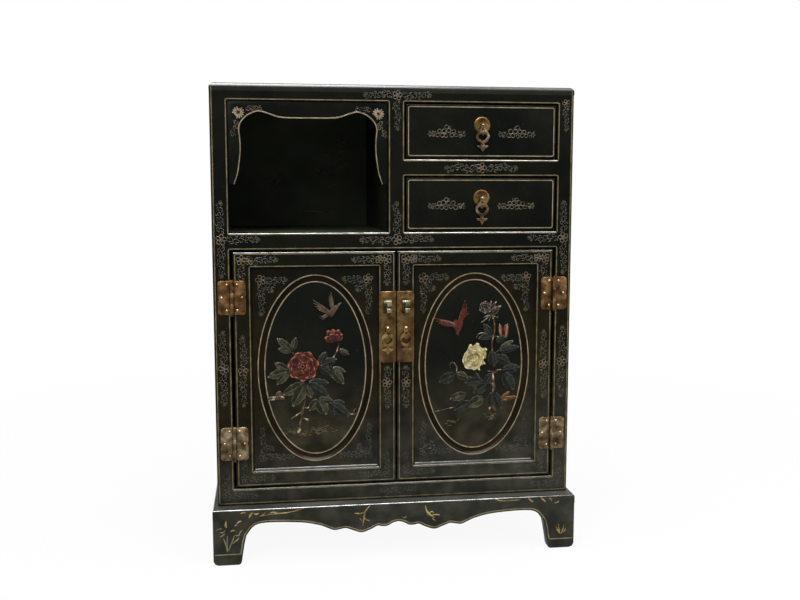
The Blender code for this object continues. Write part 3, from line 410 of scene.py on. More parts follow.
red_stone = stone("red_stone", paint(24, 7, 4), paint(77, 26, 15), paint(186, 122, 98))
coral_stone = stone("coral_stone", paint(42, 14, 9), paint(90, 36, 24), paint(138, 95, 80))
cream_stone = stone("cream_stone", paint(92, 80, 42), paint(186, 172, 118), paint(238, 231, 192))
tan_stone = stone("tan_stone", paint(34, 26, 16), paint(78, 61, 40), paint(140, 128, 104))
moss_stone = stone("moss_stone", paint(11, 13, 6), paint(22, 24, 12), paint(114, 111, 84))
teal_stone = stone("teal_stone", paint(7, 9, 6), paint(11, 14, 8), paint(76, 79, 65))
mauve_stone = stone("mauve_stone", paint(18, 11, 11), paint(44, 29, 28), paint(200, 186, 158))
shell_stone = stone("shell_stone", paint(92, 54, 42), paint(124, 100, 82), paint(184, 168, 144))
twig_stone = stone("twig_stone", paint(32, 23, 14), paint(80, 63, 42), paint(214, 194, 158), 0.72)
ochre_stone = stone("ochre_stone", paint(44, 26, 10), paint(88, 54, 22), paint(146, 112, 66))

drawer_wood = new_finish("drawer_wood", Specular_IOR_Level=0.3)
grain = mottle(drawer_wood, 60, 6, (6, 0.5, 6))
wire(drawer_wood, ramp(drawer_wood, grain, (0.3, paint(128, 92, 56)), (0.7, paint(176, 138, 92))), "Base Color")
wire(drawer_wood, between(drawer_wood, mottle(drawer_wood, 90, 4, (4, 0.5, 4)), 0.5, 0.75), "Roughness")
relief(drawer_wood, grain, 0.3, 0.0006)
print("stones and wood ready:", len(bpy.data.materials), "finishes in all")

# %% [markdown]
# ## Working by hand in code
# Shaping follows the same few moves as by hand: take one piece, pick faces or edges by where they are or which
# way they look, then extrude, inset or bevel them. Because operators act on whatever is selected, each helper
# clears the selection first. `fit` gives a finished piece its place in the frame: the body it rides on, the CAD
# nodes that it stands for and its finish.

# %% Modelling helpers
PICK = {"VERT": (True, False, False), "EDGE": (False, True, False), "FACE": (False, False, True)}
UPRIGHT = (math.radians(90), 0, 0)
MIRROR = Matrix.Scale(-1, 4, Vector((1, 0, 0)))


def only(*pieces):
    bpy.ops.object.select_all(action="DESELECT")
    for piece in pieces:
        piece.select_set(True)
    bpy.context.view_layer.objects.active = pieces[0]


def named(name):
    piece = bpy.context.object
    piece.name = piece.data.name = name
    return piece


def start_edit(piece, kind="FACE", everything=True):
    only(piece)
    bpy.ops.object.mode_set(mode="EDIT")
    bpy.context.tool_settings.mesh_select_mode = PICK[kind]
    bpy.ops.mesh.select_all(action="SELECT" if everything else "DESELECT")


def end_edit():
    bpy.ops.object.mode_set(mode="OBJECT")


def pick_faces(piece, test):
    """Opens the piece with the faces selected whose middle and normal pass a test."""
    start_edit(piece, "FACE", False)
    end_edit()
    for face in piece.data.polygons:
        face.select = bool(test(face.center, face.normal))
    bpy.ops.object.mode_set(mode="EDIT")


def pick_edges(piece, test):
    """Opens the piece with the sharp edges selected whose two ends and two normals pass a test."""
    start_edit(piece, "EDGE", False)
    end_edit()
    mesh = piece.data
    looks = {}
    for face in mesh.polygons:
        for key in face.edge_keys:
            looks.setdefault(key, []).append(face.normal)
    for edge in mesh.edges:
        sides = looks.get(edge.key, [])
        ends = [mesh.vertices[i].co for i in edge.vertices]
        sharp = len(sides) == 2 and sides[0].angle(sides[1], 0) > 0.5
        edge.select = bool(sharp and test(*ends, *sides))
    bpy.ops.object.mode_set(mode="EDIT")


def ease(piece, width, segments, test):
    """Rounds the sharp edges that pass a test. Where the rounding looks up, it takes the piece's second finish."""
    while len(piece.data.materials) < 2:
        piece.data.materials.append(None)
    pick_edges(piece, test)
    bpy.ops.mesh.bevel(offset=width, segments=segments, affect="EDGES", clamp_overlap=True, material=1)
    end_edit()
    # Only the bevel's faces that look up keep the second finish; where that finish is paler, it paints a highlight
    # where the light falls.
    for face in piece.data.polygons:
        if not 0.2 < face.normal.z < 0.9:
            face.material_index = 0


def settled():
    """The new primitive, with its place, turn and size put into its mesh."""
    bpy.ops.object.transform_apply(location=True, rotation=True, scale=True)
    return bpy.context.object


def slab(low, high):
    """A board between two corners."""
    bpy.ops.object.select_all(action="DESELECT")
    low, high = Vector(low), Vector(high)
    bpy.ops.mesh.primitive_cube_add(size=1, location=(low + high) / 2, scale=high - low)
    return settled()


def sheet(middle, width, height):
    """An upright plane that faces the front."""
    bpy.ops.object.select_all(action="DESELECT")
    bpy.ops.mesh.primitive_plane_add(size=1, location=middle, rotation=UPRIGHT)
    bpy.context.object.scale = (width, height, 1)
    return settled()


def oval(middle, half_width, half_height):
    """An upright filled oval that faces the front."""
    bpy.ops.object.select_all(action="DESELECT")
    bpy.ops.mesh.primitive_circle_add(vertices=96, radius=1, fill_type="NGON", location=middle, rotation=UPRIGHT)
    bpy.context.object.scale = (half_width, half_height, 1)
    return settled()


def cut(piece, planes):
    """Cuts edges right through a piece, along planes that are each a place and a direction."""
    start_edit(piece)
    for place, way in planes:
        bpy.ops.mesh.select_all(action="SELECT")
        bpy.ops.mesh.bisect(plane_co=place, plane_no=way)
    end_edit()


def extrude_back(depth):
    bpy.ops.mesh.extrude_region_move(TRANSFORM_OT_translate={"value": (0, depth, 0)})


def close_up():
    """Turns every face outwards and leaves edit mode."""
    bpy.ops.mesh.select_all(action="SELECT")
    bpy.ops.mesh.normals_make_consistent(inside=False)
    end_edit()


def plate(outline, front, back):
    """A flat board cut to an outline of (x, z) points: a filled circle whose corners move on to it, extruded."""
    bpy.ops.object.select_all(action="DESELECT")
    bpy.ops.mesh.primitive_circle_add(vertices=len(outline), radius=1, fill_type="NGON")
    piece = bpy.context.object
    for corner, (x, z) in zip(piece.data.vertices, outline):
        corner.co = (x, front, z)
    start_edit(piece)
    extrude_back(back - front)
    close_up()
    return piece


def looks_front(*sides):
    """True where just one of an edge's two faces looks to the front."""
    return sum(side.y < -0.99 for side in sides) == 1


def front_arris(a, b, m, n):
    """Picks an edge round a front face, as a test for ease."""
    return looks_front(m, n)


def copy_of(piece, place):
    """A copy with a mesh of its own, put in place by a matrix."""
    twin = piece.copy()
    twin.data = piece.data.copy()
    bpy.context.collection.objects.link(twin)
    twin.data.transform(place)
    if place.determinant() < 0:
        twin.data.flip_normals()
    return twin


def gather(name, pieces):
    """Joins pieces into one object."""
    only(*pieces)
    if len(pieces) > 1:
        bpy.ops.object.join()
    return named(name)


def fit(piece, body, finish, nodes=(), angle=40, edge=None):
    """Finishes a piece and puts it on a body. Without a finish it keeps the materials that it has."""
    only(piece)
    bpy.ops.object.shade_smooth_by_angle(angle=math.radians(angle))
    if finish:
        layers = [face.material_index for face in piece.data.polygons]
        piece.data.materials.clear()
        for skin in (finish, edge or finish):
            piece.data.materials.append(skin)
        for face, layer in zip(piece.data.polygons, layers):
            face.material_index = min(layer, 1)
    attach(piece, body)
    if nodes:
        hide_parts(*nodes)
    print(f"{piece.name}: {len(piece.data.polygons)} faces, on {body}")


def repaint(node, *finishes):
    """Gives a CAD solid that stays in sight finishes of this lesson."""
    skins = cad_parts[node].data.materials
    skins.clear()
    for finish in finishes:
        skins.append(finish)


# %% [markdown]
# ## The front frame
# The face of the case is stiles, rails and a post between niche and drawers, lacquered into one skin with no
# joints showing. So it is one plane, bisected along every opening's edge; the openings' faces are deleted and
# the rest is extruded back. All front arrises get the same soft rounding, which is what catches the light.

# %% The front frame
CASE_FRONT, FACE_BACK, CASE_BACK = -0.187, -0.165, 0.213
CASE_BOTTOM, TOP_SEAM, CASE_TOP = 0.1103, 0.905, 0.92
CASE_HALF, OPENING_HALF, POST_HALF = 0.351, 0.318, 0.0165
DOOR_SILL, DOOR_HEAD, NICHE_FLOOR = 0.1433, 0.6075, 0.6405
RAIL_LOW, RAIL_HIGH, LINTEL = 0.74725, 0.78025, 0.887
NEAR = 0.001
OPENINGS = {
    "niche": (-OPENING_HALF, NICHE_FLOOR, -POST_HALF, LINTEL),
    "upper": (POST_HALF, RAIL_HIGH, OPENING_HALF, LINTEL),
    "lower": (POST_HALF, NICHE_FLOOR, OPENING_HALF, RAIL_LOW),
    "doors": (-OPENING_HALF, DOOR_SILL, OPENING_HALF, DOOR_HEAD),
}

sheet((0, CASE_FRONT, (CASE_BOTTOM + TOP_SEAM) / 2), 2 * CASE_HALF, TOP_SEAM - CASE_BOTTOM)
front_frame = named("front_frame")
cuts = [((x, 0, 0), (1, 0, 0)) for x in (-OPENING_HALF, -POST_HALF, POST_HALF, OPENING_HALF)]
cuts += [((0, 0, z), (0, 0, 1)) for z in (DOOR_SILL, DOOR_HEAD, NICHE_FLOOR, RAIL_LOW, RAIL_HIGH, LINTEL)]
cut(front_frame, cuts)


def in_opening(middle, normal):
    return any(x0 < middle.x < x1 and z0 < middle.z < z1 for x0, z0, x1, z1 in OPENINGS.values())


pick_faces(front_frame, in_opening)
bpy.ops.mesh.delete(type="FACE")
bpy.ops.mesh.select_all(action="SELECT")
extrude_back(FACE_BACK - CASE_FRONT)
close_up()
ease(front_frame, 0.0038, 4, lambda a, b, m, n: looks_front(m, n) and min(a.z, b.z) < TOP_SEAM - NEAR)
fit(front_frame, "case", black_lacquer, ["left_stile", "right_stile"], edge=rubbed_and_highlit_lacquer)

# %% [markdown]
# ## Top and boards of the case
# The top board runs over the frame, and its front and side arrises are rounded the most: the photograph's bright
# strip along the top is light on that rounding. Behind the frame are the plain boards: sides, floor, the
# partition beside the drawers, the dust board between them and the strip that the doors close against.

# %% Top and boards of the case
def joined_boards(name, corners, rounding, test):
    """Boards between pairs of corners, with the arrises eased that pass a test, as one piece."""
    boards = []
    for low, high in corners:
        boards.append(slab(low, high))
        ease(boards[-1], rounding, 2, test)
    return gather(name, boards)


slab((-CASE_HALF, CASE_FRONT, TOP_SEAM), (CASE_HALF, CASE_BACK, CASE_TOP))
case_top = named("case_top")
# The top's rounding that looks up takes the paler worn finish: partly a painted highlight beside the lamp's real
# reflection.
ease(case_top, 0.0092, 7, lambda a, b, m, n: max(m.z, n.z) > 0.9 and max(m.y, n.y) < 0.9)
fit(case_top, "case", top_lacquer, ["top_board"], edge=worn_and_highlit_lacquer)

INNER_HALF, BACK_SEAM = 0.333, 0.2007
FLOOR_TOP, PARTITION_TOP, DIVIDER_UNDER = 0.1283, 0.9047, RAIL_LOW + 0.019
STOP_HALF, STOP_BACK, STOP_BOTTOM, STOP_TOP = 0.3177, -0.1527, 0.5995, 0.6225
case_sides = joined_boards("case_sides", (
    ((-CASE_HALF, FACE_BACK, CASE_BOTTOM), (-INNER_HALF, CASE_BACK, TOP_SEAM)),
    ((INNER_HALF, FACE_BACK, CASE_BOTTOM), (CASE_HALF, CASE_BACK, TOP_SEAM)),
), 0.002, lambda a, b, m, n: max(m.y, n.y) > 0.9)
fit(case_sides, "case", black_lacquer, ["left_side", "right_side"])

inner_boards = joined_boards("inner_boards", (
    ((-INNER_HALF, FACE_BACK, CASE_BOTTOM), (INNER_HALF, CASE_BACK, FLOOR_TOP)),
    ((-POST_HALF, FACE_BACK, NICHE_FLOOR), (POST_HALF, BACK_SEAM, PARTITION_TOP)),
    ((POST_HALF, FACE_BACK, DIVIDER_UNDER), (OPENING_HALF, BACK_SEAM, RAIL_HIGH)),
    ((-INNER_HALF, FACE_BACK, STOP_TOP), (INNER_HALF, STOP_BACK, NICHE_FLOOR)),
    ((-STOP_HALF, FACE_BACK, STOP_BOTTOM), (STOP_HALF, STOP_BACK, STOP_TOP)),
), 0.001, lambda a, b, m, n: abs(a.y - b.y) < NEAR)
# Painted shade: the partition's faces in the niche and the cupboard floor take the darker copy of the inside lacquer.
for face in inner_boards.data.polygons:
    of_partition = abs(face.center.x) < POST_HALF + 0.0035 and face.center.z > NICHE_FLOOR + 0.0095
    face.material_index = int(of_partition or face.center.z < 0.2)
nodes = ["bottom_board", "upper_partition", "drawer_divider", "middle_rail"]
fit(inner_boards, "case", lightened_inner_lacquer, nodes, edge=shaded_inner_lacquer)

# The back's inside face takes the lightened inside lacquer, painted lighter to make up for its shade.
repaint("back_panel", lightened_inner_lacquer, black_lacquer)
repaint("deck_board", lightened_inner_lacquer)
repaint("drawer_lining", lightened_inner_lacquer)
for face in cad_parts["back_panel"].data.polygons:
    face.material_index = int(face.normal.y > 0.9)
print("kept boards in inner lacquer: back_panel, deck_board, drawer_lining, the first one black behind")

# %% [markdown]
# ## The niche's arch
# A thin fretted board hangs in the niche: a level crown that lifts to a hump near each corner, then falls in an
# ogee to narrow legs that flare at their feet. Its edge is a smooth line through a few measured points, mirrored,
# and the board is cut from that outline. `flow` is the smooth line, and it serves every other curved edge here too.

# %% The niche's arch
def flow(points, steps=6):
    """A smooth line through points, with some steps from each to the next."""
    ends = [points[0], *points, points[-1]]
    line = []
    for a, b, c, d in zip(ends, ends[1:], ends[2:], ends[3:]):
        a, b, c, d = (Vector(p) for p in (a, b, c, d))
        slope, bend, twist = c - a, 2 * a - 5 * b + 4 * c - d, 3 * b - a - 3 * c + d
        for k in range(steps):
            t = k / steps
            line.append(tuple(b + (slope * t + bend * t**2 + twist * t**3) / 2))
    return [*line, tuple(points[-1])]


def both_halves(half):
    """A line from the middle outwards, with its mirror image before it."""
    return [(-x, z) for x, z in reversed(half)][:-1] + list(half)


NICHE_MIDDLE, ARCH_TOP, ARCH_HALF, ARCH_FOOT = -0.16725, 0.8867, 0.15045, -0.155
FRET_FACE, FRET_BACK = -0.184, -0.172
ARCH_HALF_EDGE = flow([
    (0, -0.0326), (0.0445, -0.0322), (0.0615, -0.0296), (0.0767, -0.0243), (0.0938, -0.0204),
    (0.111, -0.0268), (0.1232, -0.038), (0.1281, -0.051), (0.1265, -0.0694), (0.1261, -0.0917),
    (0.1285, -0.114), (0.1318, -0.1343), (0.1386, ARCH_FOOT),
])
ARCH_CORNERS = [(ARCH_HALF, ARCH_FOOT), (ARCH_HALF, 0), (-ARCH_HALF, 0), (-ARCH_HALF, ARCH_FOOT)]
arch_edge = [(NICHE_MIDDLE + x, ARCH_TOP + z) for x, z in both_halves(ARCH_HALF_EDGE)]
plate(arch_edge + [(NICHE_MIDDLE + x, ARCH_TOP + z) for x, z in ARCH_CORNERS], FRET_FACE, FRET_BACK)
niche_arch = named("niche_fret")
ease(niche_arch, 0.001, 2, front_arris)
fit(niche_arch, "case", black_lacquer, ["niche_arch"], 30)

# %% [markdown]
# ## The base
# The cabinet stands on a ledge over shaped aprons: scallops in the middle of the front, low arches beside them
# and bracket feet at the corners. Each apron is a board cut to half an outline and its mirror image. Their lower
# arrises are softened, and the ledge's upper arris is rounded because it shows as a bright line.

# %% The base
BASE_HALF, BASE_FRONT, BASE_BACK, UNDER_LEDGE, LEDGE_TOP = 0.36, -0.213, 0.213, 0.092, 0.11
APRON_END, SIDE_INNER, ARCH_HEIGHT = 0.191, 0.338, 0.082
UPPER_CORNERS = [(BASE_HALF, UNDER_LEDGE), (-BASE_HALF, UNDER_LEDGE)]
FOOT_EDGE = [(0.2963, 0.058), (0.2998, 0.043), (0.3037, 0.02), (0.3057, 0.0064), (0.3077, 0.0016), (0.3116, 0.0)]
FOOT_EDGE += [(0.3505, 0.0), (0.3565, 0.0024), (0.36, 0.0085)]
FRONT_HALF_EDGE = flow([
    (0, 0.0719), (0.0105, 0.0692), (0.0215, 0.0636), (0.0325, 0.0632), (0.0415, 0.0645), (0.054, 0.0583),
    (0.0725, 0.0526), (0.0885, 0.0575), (0.1035, 0.0628), (0.1145, 0.0614), (0.127, 0.06), (0.1405, 0.0655),
    (0.156, 0.0716), (0.19, 0.0786), (0.25, 0.0818), (0.2795, 0.0774), (0.2963, 0.058),
], 4) + FOOT_EDGE[1:]
plate(both_halves(FRONT_HALF_EDGE) + UPPER_CORNERS, BASE_FRONT, -APRON_END)
base_front = named("front_apron")
ease(base_front, 0.0016, 2, lambda a, b, m, n: looks_front(m, n) and min(a.z, b.z) < UNDER_LEDGE - NEAR)
fit(base_front, "case", black_lacquer, ["base_front"], 30, rubbed_and_highlit_lacquer)

BACK_HALF_EDGE = [(0, ARCH_HEIGHT)] + flow([(0.25, ARCH_HEIGHT), (0.2803, 0.0793), (0.2963, 0.058)]) + FOOT_EDGE[1:]
plate(both_halves(BACK_HALF_EDGE) + UPPER_CORNERS, APRON_END, BASE_BACK)
base_back = named("back_apron")
fit(base_back, "case", black_lacquer, ["base_back"], 30)

SIDE_HALF_EDGE = [(0, ARCH_HEIGHT)] + flow([(0.101, ARCH_HEIGHT), (0.1305, 0.0793), (0.1465, 0.058)])
SIDE_HALF_EDGE += [(0.15, 0.043), (0.1545, 0.02), (0.1595, 0.0), (APRON_END, 0.0)]
side_outline = both_halves(SIDE_HALF_EDGE) + [(APRON_END, UNDER_LEDGE), (-APRON_END, UNDER_LEDGE)]
sides = []
for turn in (90, -90):
    side = plate(side_outline, -BASE_HALF, -SIDE_INNER)
    ease(side, 0.0016, 2, lambda a, b, m, n: looks_front(m, n) and 0.0005 < max(a.z, b.z) < UNDER_LEDGE - NEAR)
    side.rotation_euler = (0, 0, math.radians(turn))
    only(side)
    bpy.ops.object.transform_apply(location=False, rotation=True, scale=False)
    sides.append(side)
base_sides = gather("side_aprons", sides)
fit(base_sides, "case", black_lacquer, ["base_left", "base_right"], 30)

slab((-BASE_HALF, BASE_FRONT, UNDER_LEDGE), (BASE_HALF, BASE_BACK, LEDGE_TOP))
base_ledge = named("ledge")
ease(base_ledge, 0.0042, 4, lambda a, b, m, n: max(m.z, n.z) > 0.9)
# The ledge's up-facing rounding takes the paler rubbed finish: partly wear, partly a painted highlight.
base_ledge.data.materials[0], base_ledge.data.materials[1] = black_lacquer, rubbed_and_highlit_lacquer
base_ledge.data.materials.append(ledge_lacquer)
# The ledge's top face takes the greyer ledge lacquer.
for face in base_ledge.data.polygons:
    if face.normal.z > 0.99:
        face.material_index = 2
fit(base_ledge, "case", None, ["base_ledge"])

# %% [markdown]
# ## Gold frames
# A thin gold line runs a few millimetres from every edge. By hand this is a plane the size of the line's outer
# edge, with its corners bevelled round, inset by the line's width, its middle deleted and the rest extruded to
# a skin that lies just proud of the lacquer. The outermost line is open along the top, so that one is bisected.

# %% Gold frames
LINE, FINE_LINE = 0.0019, 0.0017
PROUD, SKIN, ROUND_CORNER = 0.0004, 0.0009, 0.004


def thicken(line):
    """Deletes the selected middle, and gives the rest the thickness of paint, sunk into what is behind it."""
    bpy.ops.mesh.delete(type="FACE")
    bpy.ops.mesh.select_all(action="SELECT")
    extrude_back(SKIN)
    close_up()
    return line


def gold_frame(x0, z0, x1, z1, front, width=LINE):
    """A rectangle of gold line, its middle on the given edges, on a face at y = front."""
    line = sheet(((x0 + x1) / 2, front - PROUD, (z0 + z1) / 2), x1 - x0 + width, z1 - z0 + width)
    start_edit(line, "VERT")
    bpy.ops.mesh.bevel(offset=ROUND_CORNER, segments=4, affect="VERTICES")
    bpy.ops.mesh.select_mode(type="FACE")
    bpy.ops.mesh.select_all(action="SELECT")
    bpy.ops.mesh.inset(thickness=width)
    return thicken(line)


def gold_oval(x, z, half_width, half_height, front, width=LINE):
    line = oval((x, front - PROUD, z), half_width + width / 2, half_height + width / 2)
    start_edit(line)
    bpy.ops.mesh.inset(thickness=width)
    return thicken(line)


OUTSIDE = 0.003
BORDER_HALF, BORDER_LOW, BORDER_END, BORDER_HIGH = 0.3468, 0.1146, 0.912, 0.96
lines = []
for x0, z0, x1, z1 in OPENINGS.values():
    lines.append(gold_frame(x0 - OUTSIDE, z0 - OUTSIDE, x1 + OUTSIDE, z1 + OUTSIDE, CASE_FRONT))
border = gold_frame(-BORDER_HALF, BORDER_LOW, BORDER_HALF, BORDER_HIGH, CASE_FRONT)
start_edit(border)
bpy.ops.mesh.bisect(plane_co=(0, 0, BORDER_END), plane_no=(0, 0, 1), clear_outer=True, use_fill=True)
end_edit()
case_lines = gather("case_lines", [*lines, border])
fit(case_lines, "case", gold_line)

# %% [markdown]
# ## Drawers
# Each drawer front is a board with a rounded edge and one gold line. The boxes behind the fronts are plain joined
# boards, so the CAD solids stay and only get their wood finish.

# %% Drawers
DRAWER_LEFT, DRAWER_RIGHT, DRAWER_FACE, DRAWER_BACK = 0.0185, 0.316, -0.186, -0.168
INSIDE = 0.005
for name, low, high in (("upper", 0.78225, 0.885), ("lower", 0.6425, 0.74525)):
    body = f"{name}_drawer"
    slab((DRAWER_LEFT, DRAWER_FACE, low), (DRAWER_RIGHT, DRAWER_BACK, high))
    front = named(f"{name}_front_board")
    ease(front, 0.0026, 4, front_arris)
    fit(front, body, black_lacquer, [f"{body}_front"])
    line_ends = (DRAWER_LEFT + INSIDE, low + INSIDE, DRAWER_RIGHT - INSIDE, high - INSIDE)
    line = gather(f"{name}_front_line", [gold_frame(*line_ends, DRAWER_FACE, FINE_LINE)])
    fit(line, body, pale_line)
    for part in ("left_side", "right_side", "back", "bottom"):
        repaint(f"{body}_{part}", drawer_wood)

# %% [markdown]
# ## Door frames
# A door's frame is mitred so cleanly that it reads as one ring with a moulded inner edge. A plane is inset by the
# stile's width, its inner corners move to the rails, and three narrow insets pushed back make a steep band, a
# slope that catches the light below the panel, and a fillet. The middle goes, the ring is extruded and its back
# flattened. The right door is a mirror image.

# %% Door frames
DOOR_OUT, DOOR_IN, DOOR_BOTTOM, DOOR_TOP = 0.314, 0.00125, 0.1463, 0.6045
SIGHT_OUT, SIGHT_IN, SIGHT_BOTTOM, SIGHT_TOP = 0.281, 0.03425, 0.1756, 0.5752
DOOR_FACE, DOOR_BACK, DOOR_MIDDLE = -0.187, -0.165, (0.157625, 0.3754)
STILE, RING_DEPTH, MOULDING = 0.03, 0.03, ((0.0036, 0.0064), (0.0014, 0.0012), (0.0012, 0.0003))
middle = (-(DOOR_OUT + DOOR_IN) / 2, DOOR_FACE, (DOOR_BOTTOM + DOOR_TOP) / 2)
sheet(middle, DOOR_OUT - DOOR_IN, DOOR_TOP - DOOR_BOTTOM)
left_frame = named("left_door_ring")
start_edit(left_frame)
bpy.ops.mesh.inset(thickness=STILE)
end_edit()
for corner in left_frame.data.vertices:
    if corner.select:
        corner.co.x = -SIGHT_OUT if corner.co.x < -DOOR_MIDDLE[0] else -SIGHT_IN
        corner.co.z = SIGHT_TOP if corner.co.z > DOOR_MIDDLE[1] else SIGHT_BOTTOM
bpy.ops.object.mode_set(mode="EDIT")
for step, sink in MOULDING:
    bpy.ops.mesh.inset(thickness=step)
    bpy.ops.transform.translate(value=(0, sink, 0))
bpy.ops.mesh.delete(type="FACE")
bpy.ops.mesh.select_all(action="SELECT")
extrude_back(RING_DEPTH)
end_edit()
for corner in left_frame.data.vertices:
    if corner.co.y > DOOR_BACK - 0.005:
        corner.co.y = DOOR_BACK
start_edit(left_frame)
close_up()


def on_rim(a, b, m, n):
    """An edge on the door's outline, at the front."""
    rim_x = [DOOR_OUT - NEAR < -p.x or -p.x < DOOR_IN + NEAR for p in (a, b)]
    rim_z = [p.z > DOOR_TOP - NEAR or p.z < DOOR_BOTTOM + NEAR for p in (a, b)]
    return looks_front(m, n) and (all(rim_x) or all(rim_z))


ease(left_frame, 0.0036, 4, on_rim)
ease(left_frame, 0.0014, 3, lambda a, b, m, n: looks_front(m, n) and DOOR_IN + 0.01 < -a.x < DOOR_OUT - 0.01)
# Painted highlight: the slope under the panel that looks up and forward takes the paler rubbed finish.
for face in left_frame.data.polygons:
    if face.normal.z > 0.5 and face.normal.y < -0.5 and face.center.y > DOOR_FACE + 0.005:
        face.material_index = 1
right_frame = gather("right_door_ring", [copy_of(left_frame, MIRROR)])
for side, door_frame in (("left", left_frame), ("right", right_frame)):
    fit(door_frame, f"{side}_door", black_lacquer, [f"{side}_door_frame"], edge=rubbed_and_highlit_lacquer)

# %% [markdown]
# ## Door panels
# Each panel has a sunk oval with a coved rim. Working outwards from the oval: a circle is stretched to the oval,
# three insets step down the cove to the flat field, and the rim's edges are extruded out to the panel's
# rectangle, then back, and closed. The field takes its own lacquer.

# %% Door panels
PANEL_FACE, PANEL_BACK, FIELD = -0.1787, -0.1662, -0.1737
PANEL_HALF, OVAL_HALF = (0.129, 0.2055), (0.11, 0.182)
RIM_LINE, FIELD_LINE = (0.1112, 0.1832), (0.0984, 0.17)
COVE = ((0.0022, 0.0026), (0.0034, 0.0017), (0.0044, 0.0007))
oval((-DOOR_MIDDLE[0], PANEL_FACE, DOOR_MIDDLE[1]), *OVAL_HALF)
left_panel = named("left_oval_panel")
start_edit(left_panel)
for step, sink in COVE:
    bpy.ops.mesh.inset(thickness=step, depth=-sink)
bpy.ops.mesh.select_mode(type="EDGE")
bpy.ops.mesh.select_all(action="DESELECT")
bpy.ops.mesh.select_non_manifold()
bpy.ops.mesh.extrude_edges_move(TRANSFORM_OT_translate={"value": (0, 0, 0)})
end_edit()
rim = [corner for corner in left_panel.data.vertices if corner.select]
for corner in rim:
    dx, dz = corner.co.x + DOOR_MIDDLE[0], corner.co.z - DOOR_MIDDLE[1]
    stretch = 1 / max(abs(dx) / PANEL_HALF[0], abs(dz) / PANEL_HALF[1])
    corner.co.x, corner.co.z = dx * stretch - DOOR_MIDDLE[0], dz * stretch + DOOR_MIDDLE[1]
for sx in (-1, 1):
    for sz in (-1, 1):
        x, z = sx * PANEL_HALF[0] - DOOR_MIDDLE[0], sz * PANEL_HALF[1] + DOOR_MIDDLE[1]
        nearest = min(rim, key=lambda corner: (corner.co.x - x) ** 2 + (corner.co.z - z) ** 2)
        nearest.co.x, nearest.co.z = x, z
bpy.ops.object.mode_set(mode="EDIT")
bpy.ops.mesh.extrude_edges_move(TRANSFORM_OT_translate={"value": (0, PANEL_BACK - PANEL_FACE, 0)})
bpy.ops.mesh.edge_face_add()
close_up()
right_panel = gather("right_oval_panel", [copy_of(left_panel, MIRROR)])
for side, panel in (("left", left_panel), ("right", right_panel)):
    for skin in (black_lacquer, field_lacquer, cove_lacquer):
        panel.data.materials.append(skin)
    for face in panel.data.polygons:
        sunk = face.center.y - PANEL_FACE
        if sunk > 0.0003 and face.normal.y < -0.2:
            face.material_index = 1 if sunk > FIELD - PANEL_FACE - 0.0002 else 2
    fit(panel, f"{side}_door", None, [f"{side}_door_panel"])

HINGE_GAP, RIM_GAP, SIGHT_GAP = 0.0046, 0.0042, 0.0017
SIDES = (("left", -1), ("right", 1))
for side, sign in SIDES:
    outs = sorted((sign * (DOOR_OUT - HINGE_GAP), sign * (DOOR_IN + RIM_GAP)))
    sights = sorted((sign * (SIGHT_OUT + SIGHT_GAP), sign * (SIGHT_IN - SIGHT_GAP)))
    lines = [
        gold_frame(outs[0], DOOR_BOTTOM + RIM_GAP, outs[1], DOOR_TOP - RIM_GAP, DOOR_FACE, FINE_LINE),
        gold_frame(sights[0], SIGHT_BOTTOM - SIGHT_GAP, sights[1], SIGHT_TOP + SIGHT_GAP, DOOR_FACE, FINE_LINE),
    ]
    fit(gather(f"{side}_door_lines", lines), f"{side}_door", gold_line)
    lines = [
        gold_oval(sign * DOOR_MIDDLE[0], DOOR_MIDDLE[1], *RIM_LINE, PANEL_FACE),
        gold_oval(sign * DOOR_MIDDLE[0], DOOR_MIDDLE[1], *FIELD_LINE, FIELD, 0.002),
    ]
    fit(gather(f"{side}_oval_lines", lines), f"{side}_door", pale_line)

# %% [markdown]
# ## Hinges
# Four surface hinges, each two leaves nailed on with domed brass nails and rolled round a pin. A leaf is a plate
# with round corners, its knuckles are short tubes, and a nail is a flattened ball. One hinge is modelled at the
# left and copied down and across; the case leaf and pin stay with the case, the other leaf goes with the door.

# %% Hinges
HINGE_X, HINGE_Y, HINGE_HIGH, HINGE_LOW = -0.316, -0.1916, 0.5175, 0.2333
LEAF_HALF, LEAF_FACE, LEAF_BACK, NAIL_SUNK = 0.0325, -0.1897, -0.1872, 0.0004
KNUCKLE, PIN, PIN_HALF = 0.0042, 0.0033, 0.0348


def around(middle, reach, degrees):
    """The point at a distance and in a direction from a middle."""
    angle = math.radians(degrees)
    return (middle[0] + reach * math.cos(angle), middle[1] + reach * math.sin(angle))


def knob(x, y, z, radius, height):
    """A domed nail head or post: a ball flattened on to the face behind it."""
    bpy.ops.object.select_all(action="DESELECT")
    bpy.ops.mesh.primitive_uv_sphere_add(segments=14, ring_count=8, radius=1, location=(x, y, z), rotation=UPRIGHT)
    bpy.context.object.scale = (radius, radius, height)
    ball = settled()
    start_edit(ball)
    bpy.ops.mesh.bisect(plane_co=(0, y + NAIL_SUNK, 0), plane_no=(0, 1, 0), clear_outer=True, use_fill=True)
    end_edit()
    return ball


def tube(x, y, low, high, radius, rim=0.0006):
    """An upright cylinder with eased ends."""
    middle = (x, y, (low + high) / 2)
    bpy.ops.object.select_all(action="DESELECT")
    bpy.ops.mesh.primitive_cylinder_add(vertices=20, radius=radius, depth=high - low, location=middle)
    barrel = settled()
    ease(barrel, rim, 2, lambda a, b, m, n: max(abs(m.z), abs(n.z)) > 0.9)
    return barrel


